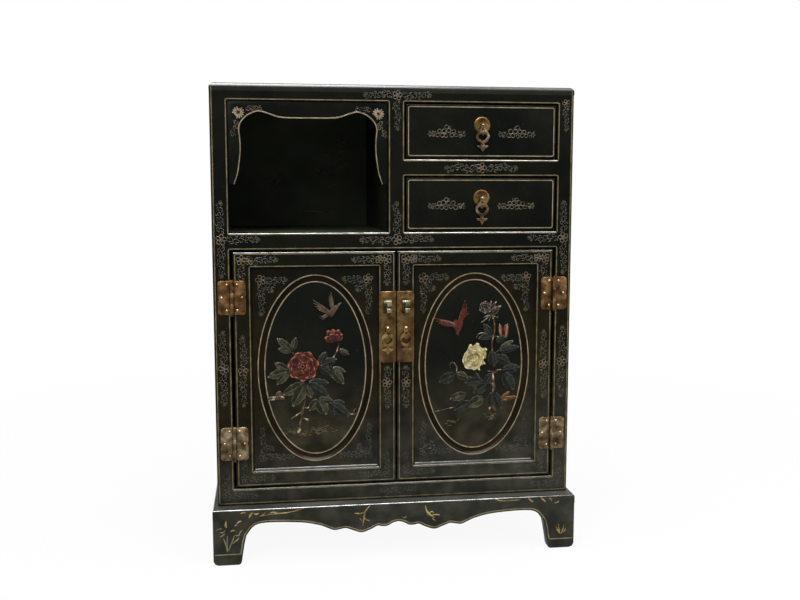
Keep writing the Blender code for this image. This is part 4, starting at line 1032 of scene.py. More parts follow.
def leaf(away):
    """One leaf beside the pin: away is -1 for the case's leaf and 1 for the door's."""
    far, near, bend = 0.0265, 0.0036, 0.0062
    outline = [(near, -LEAF_HALF)]
    outline += [around((far - bend, -LEAF_HALF + bend), bend, -90 + 22.5 * k) for k in range(5)]
    outline += [(far, -0.005), (far - 0.0018, 0)]
    outline += [(x, -z) for x, z in reversed(outline[:-1])]
    wing = plate([(HINGE_X + away * x, HINGE_HIGH + z) for x, z in outline], LEAF_FACE, LEAF_BACK)
    ease(wing, 0.0006, 2, front_arris)
    return wing


def nails(away):
    spots = ((0.0096, 0.0245), (0.019, 0.0), (0.0096, -0.0245))
    return [knob(HINGE_X + away * x, LEAF_FACE, HINGE_HIGH + z, 0.0029, 0.0016) for x, z in spots]


ROLLS = {-1: ((0.0327, 0.0111), (-0.0111, -0.0327)), 1: ((0.0105, -0.0105),)}
hinge = {}
for away, part in ((-1, "case_leaf"), (1, "door_leaf")):
    rolls = [tube(HINGE_X, HINGE_Y, HINGE_HIGH + b, HINGE_HIGH + a, KNUCKLE) for a, b in ROLLS[away]]
    hinge[part] = gather(part, [leaf(away), *rolls])
    hinge[part + "_nails"] = gather(part + "_nails", nails(away))
hinge["pin"] = gather("pin", [tube(HINGE_X, HINGE_Y, HINGE_HIGH - PIN_HALF, HINGE_HIGH + PIN_HALF, PIN, 0.0012)])

drop = Matrix.Translation((0, 0, HINGE_LOW - HINGE_HIGH))
for side, flip in (("left", Matrix.Identity(4)), ("right", MIRROR)):
    for level, move, brass in (("upper", Matrix.Identity(4), copper_brass), ("lower", drop, pale_brass)):
        for part, model in hinge.items():
            name = part.replace("leaf", "wing").replace("pin", "rod")
            piece = gather(f"{side}_{level}_{name}", [copy_of(model, flip @ move)])
            node = f"{side}_{level}_{part.replace('_nails', '')}"
            body = f"{side}_door" if part.startswith("door") else "case"
            fit(piece, body, nail_brass if part.endswith("nails") else brass, [node])
for model in hinge.values():
    bpy.data.objects.remove(model)

# %% [markdown]
# ## Lock plates, staples and pendants
# A tall brass plate sits on each door at the meeting edge, with a nickel staple for a padlock, open to the left, and
# a pendant that hangs from a domed post. The staple is a block whose mouth and groove are bisected and pushed in.
# The pendant is a flat casting: a ring, a heart-shaped opening and a forked tail. Its openings are cut with the
# Boolean modifier, because a hole in a curved outline is hard to extrude.

# %% Lock plates and pendants
PLATE_IN, PLATE_OUT, PLATE_LOW, PLATE_HIGH, CHAMFER = 0.0009, 0.0345, 0.3859, 0.5259, 0.006
PLATE_FACE, PLATE_BACK = -0.1896, -0.1872
STAPLE_HALF, STAPLE_FACE, STAPLE_BACK, STAPLE_LOW, STAPLE_HIGH = 0.0078, -0.1981, -0.1888, 0.4842, 0.5082
MOUTH_EDGE, MOUTH_TOP, MOUTH_DEPTH = 0.0022, 0.5028, 0.0075
GROOVE_LOW, GROOVE_HIGH, GROOVE_DEPTH = 0.4926, 0.4966, 0.0035
LOCK_X, LOCK_PIVOT_Y, LOCK_PIVOT_Z = 0.01805, -0.1943, 0.4529
PULL_X, PULL_PIVOT_Y, PULL_PIVOTS = 0.16725, -0.1933, {"upper": 0.845625, "lower": 0.705875}
PENDANT_HALF = flow([
    (0, 0.0036), (0.003, 0.0026), (0.0044, 0.0), (0.0036, -0.0045), (0.0052, -0.0085), (0.0092, -0.0125),
    (0.0128, -0.0185), (0.0132, -0.0235), (0.0108, -0.0292), (0.0058, -0.0335), (0.003, -0.0358),
    (0.0042, -0.0384), (0.0078, -0.0392), (0.0106, -0.0386), (0.0108, -0.0412), (0.0078, -0.0436),
    (0.0044, -0.0446), (0.0028, -0.0474), (0, -0.0516),
], 3)
HEART_HALF = flow([
    (0, -0.0208), (0.0034, -0.0176), (0.0074, -0.0184), (0.0087, -0.0222), (0.006, -0.0266), (0, -0.0304),
], 4)


def whole(half):
    """A closed outline from its right half, which starts and ends on the middle."""
    return list(half) + [(-x, z) for x, z in reversed(half[1:-1])]


pendant = plate(whole(PENDANT_HALF), -0.0012, 0.0012)
eyelet = [(0.0019 * math.cos(a), -0.0088 + 0.0022 * math.sin(a)) for a in [k * math.pi / 8 for k in range(16)]]
for opening in (whole(HEART_HALF), eyelet):
    cutter = plate(opening, -0.01, 0.01)
    only(pendant)
    bpy.ops.object.modifier_add(type="BOOLEAN")
    pendant.modifiers[-1].operation = "DIFFERENCE"
    pendant.modifiers[-1].object = cutter
    bpy.ops.object.modifier_apply(modifier=pendant.modifiers[-1].name)
    bpy.data.objects.remove(cutter)
ease(pendant, 0.0005, 2, lambda a, b, m, n: max(abs(m.y), abs(n.y)) > 0.99)
print("pendant:", len(pendant.data.polygons), "faces")

for side, sign in SIDES:
    outline = [(PLATE_IN, PLATE_LOW), (PLATE_OUT - CHAMFER, PLATE_LOW), (PLATE_OUT, PLATE_LOW + CHAMFER)]
    outline += [(PLATE_OUT, PLATE_HIGH - CHAMFER), (PLATE_OUT - CHAMFER, PLATE_HIGH), (PLATE_IN, PLATE_HIGH)]
    plate([(sign * x, z) for x, z in outline], PLATE_FACE, PLATE_BACK)
    lock_plate = named(f"{side}_lock_sheet")
    ease(lock_plate, 0.0008, 2, front_arris)
    fit(lock_plate, f"{side}_door", lock_brass, [f"{side}_lock_plate"])
    post = knob(sign * LOCK_X, -0.1893, LOCK_PIVOT_Z + 0.0012, 0.0046, 0.0088)
    fit(gather(f"{side}_lock_post", [post]), f"{side}_door", nail_brass, [f"{side}_lock_plate"])

    left, right, mouth = sign * LOCK_X - STAPLE_HALF, sign * LOCK_X + STAPLE_HALF, sign * LOCK_X - MOUTH_EDGE
    slab((left, STAPLE_FACE, STAPLE_LOW), (right, STAPLE_BACK, STAPLE_HIGH))
    staple = named(f"{side}_padlock_staple")
    levels = [((0, 0, z), (0, 0, 1)) for z in (MOUTH_TOP, GROOVE_HIGH, GROOVE_LOW)]
    cut(staple, [((mouth, 0, 0), (1, 0, 0)), *levels])
    pick_faces(staple, lambda spot, normal: normal.y < -0.9 and spot.x < mouth and spot.z < MOUTH_TOP)
    extrude_back(MOUTH_DEPTH)
    end_edit()
    pick_faces(staple, lambda spot, normal: normal.y < -0.9 and spot.x > mouth and GROOVE_LOW < spot.z < GROOVE_HIGH)
    extrude_back(GROOVE_DEPTH)
    end_edit()
    ease(staple, 0.0015, 3, lambda a, b, m, n: looks_front(m, n) and min(a.y, b.y) < STAPLE_FACE + 0.0001)
    # Painted shade: the sunk faces of the mouth and groove take the darker lock brass, so the recesses read dark.
    for face in staple.data.polygons:
        at_mouth = mouth - 0.005 < face.center.x < mouth + NEAR
        sunk = face.center.y > STAPLE_FACE + 0.0026
        face.material_index = int(sunk and (face.normal.y < -0.9 or at_mouth))
    fit(staple, f"{side}_door", pale_nickel, [f"{side}_staple"], edge=lock_brass)

    drop_at = Matrix.Translation((sign * LOCK_X, LOCK_PIVOT_Y, LOCK_PIVOT_Z))
    hanger = gather(f"{side}_lock_drop", [copy_of(pendant, drop_at)])
    fit(hanger, f"{side}_lock_pendant", drop_brass, [f"{side}_lock_pendant"])

# %% [markdown]
# ## Drawer pulls
# Each pull is a round brass plate with a stepped rim, a domed post and the same pendant. The plate is a cylinder
# whose front face is inset in four steps, up and down, which makes a disc look like a turned rosette.

# %% Drawer pulls
DISC_RADIUS, DISC_DEPTH, DISC_Y = 0.0158, 0.0015, -0.18695
DISC_STEPS = ((0.0012, 0.0006), (0.0022, 0.0), (0.0012, -0.0005), (0.0056, 0.0008))
for name, height in PULL_PIVOTS.items():
    bpy.ops.object.select_all(action="DESELECT")
    bpy.ops.mesh.primitive_cylinder_add(
        vertices=40, radius=DISC_RADIUS, depth=DISC_DEPTH, location=(PULL_X, DISC_Y, height), rotation=UPRIGHT
    )
    settled()
    rosette = named(f"{name}_pull_rosette")
    pick_faces(rosette, lambda spot, normal: normal.y < -0.9)
    for step, rise in DISC_STEPS:
        bpy.ops.mesh.inset(thickness=step, depth=rise)
    end_edit()
    fit(rosette, f"{name}_drawer", lock_brass, [f"{name}_pull_plate"])
    post = gather(f"{name}_pull_post", [knob(PULL_X, -0.1882, height, 0.0034, 0.0088)])
    fit(post, f"{name}_drawer", nail_brass, [f"{name}_pull_plate"])
    hanger = gather(f"{name}_pull_drop", [copy_of(pendant, Matrix.Translation((PULL_X, PULL_PIVOT_Y, height)))])
    fit(hanger, f"{name}_pull_pendant", pull_brass, [f"{name}_pull_pendant"])
bpy.data.objects.remove(pendant)

# %% [markdown]
# ## Carved blades
# The stone reliefs are leaves, petals and feathers laid over one another, so a few blades and one pebble are
# carved and copied. A blade starts as a grid one unit long; its corners move to an outline and a swelling: a leaf is
# creased along the middle, a petal is hollow at its root and rises to a frilled rim. The same loop writes down in
# the carve attribute how near each corner is to the rim, a vein or the root, and Solidify closes the blade. `lay`
# stretches a copy from one point to another on a door's field, in millimetres from the oval's middle.

# %% Carved blades
def leaf_edge(along):
    return 0.5 * max(math.sin(math.pi * along**0.92), 0) ** 0.66 + 0.012


def petal_edge(along):
    widest = 0.58
    if along < widest:
        return 0.5 * (along / widest) ** 0.65
    return 0.5 * max(1 - ((along - widest) / 0.43) ** 2, 0.01) ** 0.5


def pointed_edge(along):
    widest = 0.5
    if along < widest:
        return 0.5 * (along / widest) ** 0.6
    return 0.5 * max(1 - ((along - widest) / 0.5) ** 1.5, 0.02)


def feather_edge(along):
    return 0.5 * max(math.sin(math.pi * along**0.5), 0) ** 0.9 + 0.015


def leaf_swell(along, across):
    ribs = 0.16 * math.sin(along * 34 - abs(across) * 7) * abs(across) * (1 - abs(across))
    middle = 0.42 * math.exp(-((across / 0.16) ** 2)) * (1 - 0.5 * along)
    return (1 - 0.72 * across**2) * math.sin(math.pi * (0.12 + 0.8 * along)) ** 0.6 - middle + ribs


def petal_swell(along, across):
    return (0.15 + 0.85 * along**1.6) * (1 - 0.3 * across**2) + 0.1 * math.sin(across * 8) * along**2


def carve(name, half_width, swell, frill, rim, vein, root):
    """A blade one unit long. Frill waves its edge; rim, vein and root say how strongly each is marked."""
    bpy.ops.object.select_all(action="DESELECT")
    bpy.ops.mesh.primitive_grid_add(x_subdivisions=16, y_subdivisions=20, size=1)
    blade = named(name)
    shades = blade.data.attributes.new("carve", "FLOAT_COLOR", "POINT")
    for corner, shade in zip(blade.data.vertices, shades.data):
        along, across = corner.co.x + 0.5, corner.co.y * 2
        edge = half_width(along) * (1 + frill * math.sin(along * 26) * abs(across) ** 3)
        side_veins = max(math.cos(2 * math.pi * (3.4 * along - 1.3 * abs(across))), 0) ** 4 * (1 - abs(across))
        # pale: rims and veins, partly real and partly a painted highlight, and one half of a leaf painted lighter as
        # if lit. The green channel below is painted shade at the root.
        pale = rim * max(abs(across) ** 16, along**26)
        pale += vein * (math.exp(-((across / 0.1) ** 2)) + 0.4 * side_veins) * (1 - 0.5 * along)
        pale += 0.55 * vein * max(across, 0) * math.sin(math.pi * along)
        shade.color = (min(pale, 1), root * (1 - along) ** 0.8, 0, 1)
        corner.co = (along, -swell(along, across), across * edge)
    only(blade)
    bpy.ops.object.modifier_add(type="SOLIDIFY")
    blade.modifiers[-1].thickness = 0.1
    blade.modifiers[-1].offset = -1
    bpy.ops.object.modifier_apply(modifier=blade.modifiers[-1].name)
    return blade


leaf_blade = carve("leaf_blade", leaf_edge, leaf_swell, 0.08, 0.8, 0.6, 0.4)
petal_blade = carve("petal_blade", petal_edge, petal_swell, 0.06, 0.7, 0.0, 1.0)
pointed_blade = carve("pointed_blade", pointed_edge, petal_swell, 0.05, 0.75, 0.1, 0.8)
feather_blade = carve("feather_blade", feather_edge, leaf_swell, 0.0, 0.45, 0.3, 0.4)
bpy.ops.object.select_all(action="DESELECT")
bpy.ops.mesh.primitive_uv_sphere_add(
    segments=18, ring_count=10, radius=0.5, location=(0.5, 0, 0), rotation=(0, math.radians(90), 0)
)
settled()
pebble = named("pebble")
for corner in pebble.data.vertices:
    corner.co *= 1 + 0.05 * math.sin(corner.co.x * 11) * math.cos(corner.co.z * 9)
MM, CARVED_ANGLE = 0.001, 50


def on_field(side, x, z):
    """The place of a point on a door's field, given in millimetres from the oval's middle."""
    return (dict(SIDES)[side] * DOOR_MIDDLE[0] + x * MM, DOOR_MIDDLE[1] + z * MM)


def lay(model, side, start, end, width, height, lift=0.0):
    """A copy of a blade on a door's field, from start to end, sizes in millimetres."""
    run = Vector(end) - Vector(start)
    x, z = on_field(side, *start)
    place = Matrix.Translation((x, FIELD - lift * MM, z))
    turn = Matrix.Rotation(-math.atan2(run.y, run.x), 4, "Y")
    return copy_of(model, place @ turn @ Matrix.Diagonal((run.length * MM, height * MM, width * MM, 1)))


def inlay(name, parts, side, finish, node="foliage"):
    """Joins carved blades to one piece on a door, in the place of one of its CAD stones."""
    fit(gather(name, parts), f"{side}_door", finish, [f"{side}_{node}"], CARVED_ANGLE)


BLADES = (leaf_blade, petal_blade, pointed_blade, feather_blade, pebble)
print("blades:", [len(blade.data.polygons) for blade in BLADES])

# %% [markdown]
# ## Peony, rose and buds
# A flower is some rings of petals, each ring smaller, higher and turned against the one below, so that a row of
# rims shows. The cream rose opens towards the upper right with pointed outer petals, and its heart lies low at the
# left; the peony is rounder and fuller. A seeded random tilt keeps the petals from looking stamped.

# %% Peony, rose and buds
chance = random.Random(8)


def flower(side, middle, rings, wobble):
    """Rings of (count, inner reach, outer reach, width, height, lift, first angle), in millimetres."""
    petals = []
    for count, inner, outer, width, height, lift, first in rings:
        for k in range(count):
            angle = first + 360 * k / count + chance.uniform(-wobble, wobble)
            reach = outer * chance.uniform(0.9, 1.07)
            ends = around(middle, inner, angle), around(middle, reach, angle)
            petals.append(lay(petal_blade, side, *ends, width, height, lift))
    return petals


peony = flower("left", (-26, 5), [
    (7, 9, 29, 24, 2.8, 0.2, 12), (7, 8, 23.5, 18, 2.9, 1.3, 38),
    (6, 19, 8, 16, 2.6, 2.4, 15), (4, 12, 3, 12, 2.2, 3.6, 40),
], 7)
peony += [lay(petal_blade, "left", (38, 51), tip, width, 3.0, lift) for tip, width, lift in (
    ((20, 61), 14, 0.2), ((51, 66), 14, 0.2), ((25, 73), 15, 0.7), ((45, 74), 15, 0.7),
    ((35, 75), 14, 1.2), ((30, 67), 13, 2.0), ((42, 66), 12, 2.4),
)]
inlay("red_peony", peony, "left", red_stone, "peony")

rose = flower("right", (-2, 11), [(8, 8, 21, 19, 2.6, 0.2, 8), (7, 6, 17.5, 17, 2.8, 1.2, 30)], 4)
rose += flower("right", (-5, 11), [(6, 3, 13.5, 15, 2.7, 2.3, 10)], 4)
rose += flower("right", (-7, 12), [(5, 1, 9.5, 11, 2.5, 3.4, 45), (3, -1, 5.5, 7, 2.2, 4.4, 70)], 4)
rose += [lay(pointed_blade, "right", start, tip, width, 2.8, lift) for start, tip, width, lift in (
    ((-2, 14), (-7, 39), 22, 0.5), ((3, 13), (7, 41), 29, 0.9), ((5, 12), (24, 30), 26, 0.6),
    ((8, 6), (22, 1), 13, 0.3), ((3, 3), (11, -11), 11, 0.1),
)]
inlay("cream_rose", rose, "right", cream_stone, "rose")

mauve = flower("right", (22, 115), [
    (6, 3, 12, 11, 2.4, 0.6, 20), (5, 2, 8.5, 9, 2.4, 1.7, 50), (3, 0, 5, 6, 2.2, 2.7, 10),
], 8)
mauve += [lay(pointed_blade, "right", (30, 99), tip, width, 2.5, lift) for tip, width, lift in (
    ((34, 125), 12, 0.2), ((52, 116), 15, 0.5), ((43, 124), 13, 0.9),
)]
inlay("mauve_flower", mauve, "right", mauve_stone)

buds = [lay(pebble, "right", *ends, 7.5, 6) for ends in (((55, 56), (53, 80)), ((65, 51), (66, 80)))]
buds += [lay(leaf_blade, "right", *ends, 5, 2.2, 2.6) for ends in (((55, 55), (51, 81)), ((65, 51), (68, 81)))]
inlay("pale_buds", buds, "right", shell_stone)
sheath = [lay(pebble, "right", *ends, 3.5, 5, 1) for ends in (
    ((58, 54), (56, 77)), ((61, 52), (62, 78)), ((68, 53), (70, 76)),
)]
inlay("bud_sheath", sheath, "right", red_stone)

# %% [markdown]
# ## Leaves, twigs and rocks
# A peony leaf has three lobes, so it is three blades from one root; rose leaves are single blades. Two greens keep
# near and far leaves apart. Rocks and knots are pebbles. Twigs and trunks are strokes: a path with a round edge,
# thick in the middle, made a mesh. `brush` does that here and for all painted lines later.

# %% Leaves, twigs and rocks
LOBES = {
    "moss": [
        ((-45, 35), [((-72, 40), 13), ((-74, 61), 14), ((-38, 62), 12)]),
        ((-53, -3), [((-79, 12), 15), ((-75, -30), 17), ((-93, -15), 18)]),
        ((31, 0), [((58, -8), 12), ((33, -20), 13), ((54, -32), 19)]),
        ((-20, -28), [((-64, -51), 20), ((-9, -58), 17), ((-45, -74), 24)]),
        ((4, -62), [((-13, -84), 17), ((32, -64), 16), ((20, -92), 24)]),
        ((46, 36), [((65, 26), 11)]),
    ],
    "teal": [
        ((7, 5), [((20, 32), 16), ((41, 18), 18), ((30, -13), 17)]),
        ((-16, -28), [((25, -29), 17), ((4, -50), 14), ((25, -55), 20)]),
        ((31, -70), [((56, -70), 13), ((37, -93), 14), ((64, -97), 20)]),
    ],
}
ROSE_LEAVES = {
    "teal": [
        ((41, 58), (9, 52), 13), ((36, 57), (20, 81), 14), ((45, 44), (64, 55), 14), ((36, 26), (42, -5), 20),
        ((46, 16), (73, 2), 20), ((52, 26), (92, 34), 15), ((20, -34), (-18, -37), 19),
        ((26, -42), (0, -58), 21), ((36, -20), (22, -42), 16), ((39, -58), (35, -88), 17),
        ((42, -58), (58, -92), 17), ((62, -18), (81, -54), 24), ((-38, -19), (-70, -34), 21),
        ((58, -12), (94, -8), 19), ((-6, -76), (-39, -92), 20),
    ],
    "moss": [
        ((-36, -18), (-12, -27), 16), ((52, 27), (80, 46), 14), ((-14, -60), (-48, -69), 18),
        ((22, -68), (-12, -86), 22), ((35, 98), (19, 94), 5), ((2, -16), (12, -30), 7),
    ],
}
for tone, finish in (("moss", moss_stone), ("teal", teal_stone)):
    blades = []
    for root, lobes in LOBES[tone]:
        for k, (tip, width) in enumerate(lobes):
            blades.append(lay(leaf_blade, "left", root, tip, width, 2.4, 0.5 + 0.55 * k))
    inlay(f"left_{tone}_leaves", blades, "left", finish)
    blades = []
    for k, (root, tip, width) in enumerate(ROSE_LEAVES[tone]):
        blades.append(lay(leaf_blade, "right", root, tip, width, 2.3, 0.4 + 0.5 * (k % 3)))
    inlay(f"right_{tone}_leaves", blades, "right", finish)


def brush(points, radius, front, flat, ends=1.0, closed=False, sides=1):
    """A stroke through (x, z) points on the plane y = front, thinner at its ends and flattened from the front."""
    bpy.ops.object.select_all(action="DESELECT")
    bpy.ops.curve.primitive_nurbs_path_add()
    path = bpy.context.object
    path.data.splines.clear()
    spline = path.data.splines.new("POLY")
    spline.points.add(len(points) - 1)
    for k, (point, (x, z)) in enumerate(zip(spline.points, points)):
        point.co = (x, 0, z, 1)
        point.radius = 1 - (1 - ends) * abs(2 * k / (len(points) - 1) - 1) ** 2
    spline.use_cyclic_u = closed
    path.data.dimensions = "3D"
    path.data.bevel_depth = radius
    path.data.bevel_resolution = sides
    path.data.use_fill_caps = True
    bpy.ops.object.convert(target="MESH")
    stroke = bpy.context.object
    stroke.data.transform(Matrix.Translation((0, front, 0)) @ Matrix.Diagonal((1, flat, 1, 1)))
    return stroke


def twig(side, points, radius, ends=0.5):
    """A stroke on a door's field, in millimetres from the oval's middle."""
    return brush(flow([on_field(side, x, z) for x, z in points], 5), radius * MM, FIELD, 0.9, ends)


LEFT_TWIGS = [
    ([(46, 48), (43, 37), (38, 26), (24, 8)], 1.5), ([(-18, -30), (-20, -48), (-22, -64)], 1.4),
    ([(-21, -62), (-25, -76), (-27, -90), (-34, -124)], 2.6, 0.7), ([(-26, -84), (-38, -92), (-47, -98)], 1.4),
    ([(-29, -102), (-23, -99), (-19, -102)], 1.4),
    ([(-24, -76), (-18, -79), (-10, -74), (6, -66), (33, -71)], 1.3), ([(60, -88), (70, -94), (84, -92)], 1.0),
    ([(72, -93), (76, -84), (80, -82)], 0.8), ([(-46, 34), (-42, 28)], 1.2),
    ([(28, 4), (38, -6), (46, -16)], 1.3),
]
left_twigs = [twig("left", *stem) for stem in LEFT_TWIGS]
left_twigs += [lay(pebble, "left", *ends, width, 4) for *ends, width in (
    ((-95, -58), (-76, -57), 8), ((-82, -56), (-60, -58), 9), ((-78, -50), (-66, -46), 9),
    ((-30, -121), (-37, -128), 6), ((-24, -82), (-31, -92), 7), ((-44, -96), (-50, -101), 5),
    ((-20, -100), (-16, -105), 5),
)]
inlay("left_twigs", left_twigs, "left", twig_stone)

RIGHT_TWIGS = [
    ([(35, 100), (40, 88), (42, 74), (41, 60), (37, 42), (38, 26)], 1.7, 0.8),
    ([(43, 56), (52, 54), (60, 52)], 0.9), ([(39, -14), (41, -44), (40, -70), (43, -96)], 2.2, 0.7),
    ([(-38, -20), (-34, -8), (-40, 4), (-48, 2), (-47, -6)], 0.8),
    ([(-38, -19), (-20, -22), (6, -30), (30, -36), (40, -44)], 0.9),
    ([(-84, -96), (-66, -92), (-42, -87), (-10, -82)], 0.9), ([(35, 99), (26, 92), (15, 84)], 0.9),
    ([(36, 99), (43, 95), (49, 94)], 0.9), ([(35, 98), (32, 91), (30, 86)], 0.8),
    ([(5, 54), (10, 61), (18, 63), (32, 59)], 0.8), ([(39, 18), (50, 26), (61, 32), (74, 36)], 0.9),
    ([(44, -14), (60, -12)], 1.1), ([(28, -14), (36, -16), (46, -18), (48, -12)], 1.1),
]
right_twigs = [twig("right", *stem) for stem in RIGHT_TWIGS]
right_twigs += [lay(pebble, "right", *ends, width, 4.5) for *ends, width in (
    ((40, -36), (44, -52), 7), ((39, -84), (47, -98), 8), ((36, -88), (32, -98), 6),
)]
inlay("right_twigs", right_twigs, "right", twig_stone)
ochre = [
    lay(leaf_blade, "right", (55, -76), (74, -58), 9, 2),
    lay(leaf_blade, "right", (57, -75), (88, -68), 9, 2, 0.5),
    twig("right", [(57, -77), (74, -75), (93, -72)], 1.0),
]
inlay("ochre_grass", ochre, "right", ochre_stone)

# %% [markdown]
# ## Birds
# A bird dives over each flower: a tan one at the left, a coral one at the right. A body and head are stretched
# pebbles under three long feathers, the beak and tail are blades, and each wing is a fan of feathers from the
# shoulder over a short row of coverts. Both birds are described by the same few points, so one recipe carves them.

# %% Birds
def bird(side, head, body, beak, tail, wings, girth, finish):
    """A bird from its points in millimetres. A wing is its root, its tip and how far it fans out in degrees."""
    head, body, tail = Vector(head), Vector(body), Vector(tail)
    spine = head - body
    nose = spine.normalized()
    parts = [lay(pebble, side, body - spine * 0.5, head - spine * 0.1, girth, 4.8, 0.6)]
    parts.append(lay(pebble, side, head - nose * 4.5, head + nose * 4.5, 0.5 * girth, 5, 1.0))
    parts.append(lay(leaf_blade, side, head, beak, 3.2, 2.2, 1.4))
    across = Vector((-spine.y, spine.x)).normalized()

    def feather(start, end, width, height, lift):
        parts.append(lay(feather_blade, side, start, end, width, height, lift))

    for k in (-1, 0, 1):
        feather(body - spine * 0.2, tail + across * 3.6 * k, 5, 2.2, 0.6 + 0.3 * (k == 0))
        flank = across * 0.3 * girth * k
        feather(body - spine * 0.6 + flank, head + nose * 3 + flank * 0.2, 0.5 * girth, 2.4, 3.4)
    for root, tip, spread in wings:
        root, tip = Vector(root), Vector(tip)
        reach = tip - root
        for k in range(6):
            swing = Matrix.Rotation(math.radians(spread) * k / 5, 2)
            feather(root - reach * 0.12, root + swing @ reach * (1 - 0.13 * k), 6.2, 2.4, 2.2 - 0.25 * k)
        for k in range(4):
            swing = Matrix.Rotation(math.radians(spread) * k / 3.4, 2)
            feather(root - reach * 0.2, root + swing @ reach * (0.5 - 0.05 * k), 5.6, 2.6, 3.2 - 0.2 * k)
    inlay(f"{side}_carved_bird", parts, side, finish, "bird")


bird(
    "left", head=(45, 124), body=(33, 111), beak=(52, 129), tail=(11, 98),
    wings=[((25, 112), (-4, 135), 40), ((34, 120), (31, 149), 30)],
    girth=12, finish=tan_stone,
)
bird(
    "right", head=(-34, 65), body=(-33, 81), beak=(-31, 57), tail=(-14, 104),
    wings=[((-38, 81), (-82, 95), 30), ((-31, 86), (-19, 129), -34)],
    girth=19, finish=coral_stone,
)
for model in BLADES:
    bpy.data.objects.remove(model)

# %% [markdown]
# ## Painted scrollwork
# Between the gold lines the lacquer carries plum blossoms and scrolling tendrils in dull gold, grey-green and mauve.
# A blossom is five rings of paint round a dot; a scroll is a thick stem with leaves that curl back from it. Each is
# modelled once, a few dozen faces with a finish of its own, and a spray is a blossom with chains of scrolls running
# along the rail or stile. They are joined to one piece for each thing that moves.

# %% Painted scrollwork
STROKE, HAZY_BELOW = 0.00062, 0.25


def ring(x, z, radius, stroke=STROKE):
    return brush([around((x, z), radius, 36 * k) for k in range(10)], stroke, 0, 1.0, closed=True, sides=0)


rings = [ring(*around((0, 0), 0.0066, 90 + 72 * k), 0.0036) for k in range(5)]
blossom = gather("blossom", [*rings, ring(0, 0, 0.0015)])
blossom.data.materials.append(blossom_paint)

CURLS = [
    ([
        (0, 0), (0.005, 0.003), (0.011, 0.0024), (0.0165, -0.0016), (0.0218, -0.001),
        (0.0236, 0.003), (0.0205, 0.0052), (0.018, 0.003), (0.0196, 0.0012),
    ], 1.0),
    ([(0.0055, 0.0028), (0.0078, 0.0066), (0.012, 0.0074), (0.0138, 0.0044), (0.0114, 0.0034)], 1.2),
    ([(0.0128, 0.0012), (0.011, -0.0042), (0.0066, -0.0054), (0.005, -0.0024), (0.0072, -0.0014)], 1.2),
    ([(0.0012, -0.0012), (0.0034, -0.0046), (0.0012, -0.0066)], 1.5),
    ([(0.0165, 0.0052), (0.0182, 0.0082), (0.0214, 0.009)], 1.4),
    ([(0.016, -0.003), (0.0186, -0.0062), (0.0222, -0.006)], 1.4),
]
scroll = gather("scroll", [brush(flow(points, 2), STROKE * thick, 0, 1.0, 0.3, sides=0) for points, thick in CURLS])
scroll.data.materials.append(scroll_paint)


def mark(model, x, z, front, degrees, size, flip=False):
    """A copy of a painted motif, turned in the plane of the face that carries it."""
    place = Matrix.Translation((x, front, z)) @ Matrix.Rotation(-math.radians(degrees), 4, "Y")
    return copy_of(model, place @ Matrix.Diagonal((size, 0.6, -size if flip else size, 1)))


def spray(x, z, front, arms, size):
    """A blossom with chains of scrolls: an arm is a direction in degrees and a number. Low sprays are hazy."""
    marks = [mark(blossom, x, z, front, chance.uniform(-20, 20), size)]
    for degrees, count in arms:
        for k in range(count):
            at = around((x, z), (0.0095 + 0.0205 * k) * size, degrees)
            turn, flip = degrees + chance.uniform(-8, 8), chance.random() < 0.5
            marks.append(mark(scroll, *at, front, turn, size * (1 - 0.1 * k), flip))
        at = around((x, z), (0.0125 + 0.019 * count) * size, degrees)
        marks.append(mark(blossom, *at, front, chance.uniform(0, 72), 0.4 * size))
    if z < HAZY_BELOW:
        for motif in marks:
            motif.data.materials[0] = haze_paint
    return marks


RIGHT, UP, LEFT, DOWN = 0, 90, 180, 270
CASE_SPRAYS = [
    (0.002, 0.9005, ((LEFT, 3), (RIGHT, 3), (DOWN, 3)), 0.9),
    (0.0008, 0.626, ((LEFT, 3), (RIGHT, 3), (UP, 3)), 1.0),
    (-0.334, 0.628, ((UP, 3), (RIGHT, 3), (DOWN, 3)), 1.0),
    (0.334, 0.628, ((UP, 3), (LEFT, 3), (DOWN, 3)), 1.0), (0.1665, 0.7638, ((LEFT, 3), (RIGHT, 3)), 1.0),
    (-0.334, 0.381, ((UP, 3), (DOWN, 3)), 1.0), (0.335, 0.379, ((UP, 3), (DOWN, 3)), 1.0),
    (-0.333, 0.1285, ((UP, 2), (RIGHT, 3)), 0.85), (0.333, 0.1285, ((UP, 2), (LEFT, 3)), 0.85),
    (0.003, 0.1285, ((LEFT, 2), (RIGHT, 2)), 0.7), (0.335, 0.889, ((DOWN, 3),), 0.75),
]
marks = []
for x, z, arms, size in CASE_SPRAYS:
    marks += spray(x, z, CASE_FRONT, arms, size)
fit(gather("case_scrolls", marks), "case", None)

FRAME_SPRAYS = [
    (0.2972, 0.5885, ((LEFT, 3), (DOWN, 2)), 0.95), (0.0187, 0.5885, ((RIGHT, 3), (DOWN, 2)), 0.95),
    (0.2972, 0.375, ((UP, 3), (DOWN, 3)), 0.95), (0.0187, 0.345, ((UP, 1), (DOWN, 2)), 0.95),
    (0.2972, 0.1625, ((LEFT, 3), (UP, 2)), 0.8), (0.0187, 0.1625, ((RIGHT, 3), (UP, 2)), 0.8),
    (0.283, 0.5885, (), 0.8), (0.033, 0.5885, (), 0.8),
]
PANEL_SPRAYS = [
    (0.2615, 0.55, ((LEFT, 2), (DOWN, 3), (225, 1)), 0.95),
    (0.0545, 0.55, ((RIGHT, 2), (DOWN, 3), (315, 1)), 0.95),
    (0.2615, 0.202, ((LEFT, 3), (UP, 3), (135, 1)), 0.85),
    (0.0545, 0.202, ((RIGHT, 3), (UP, 3), (45, 1)), 0.85),
]
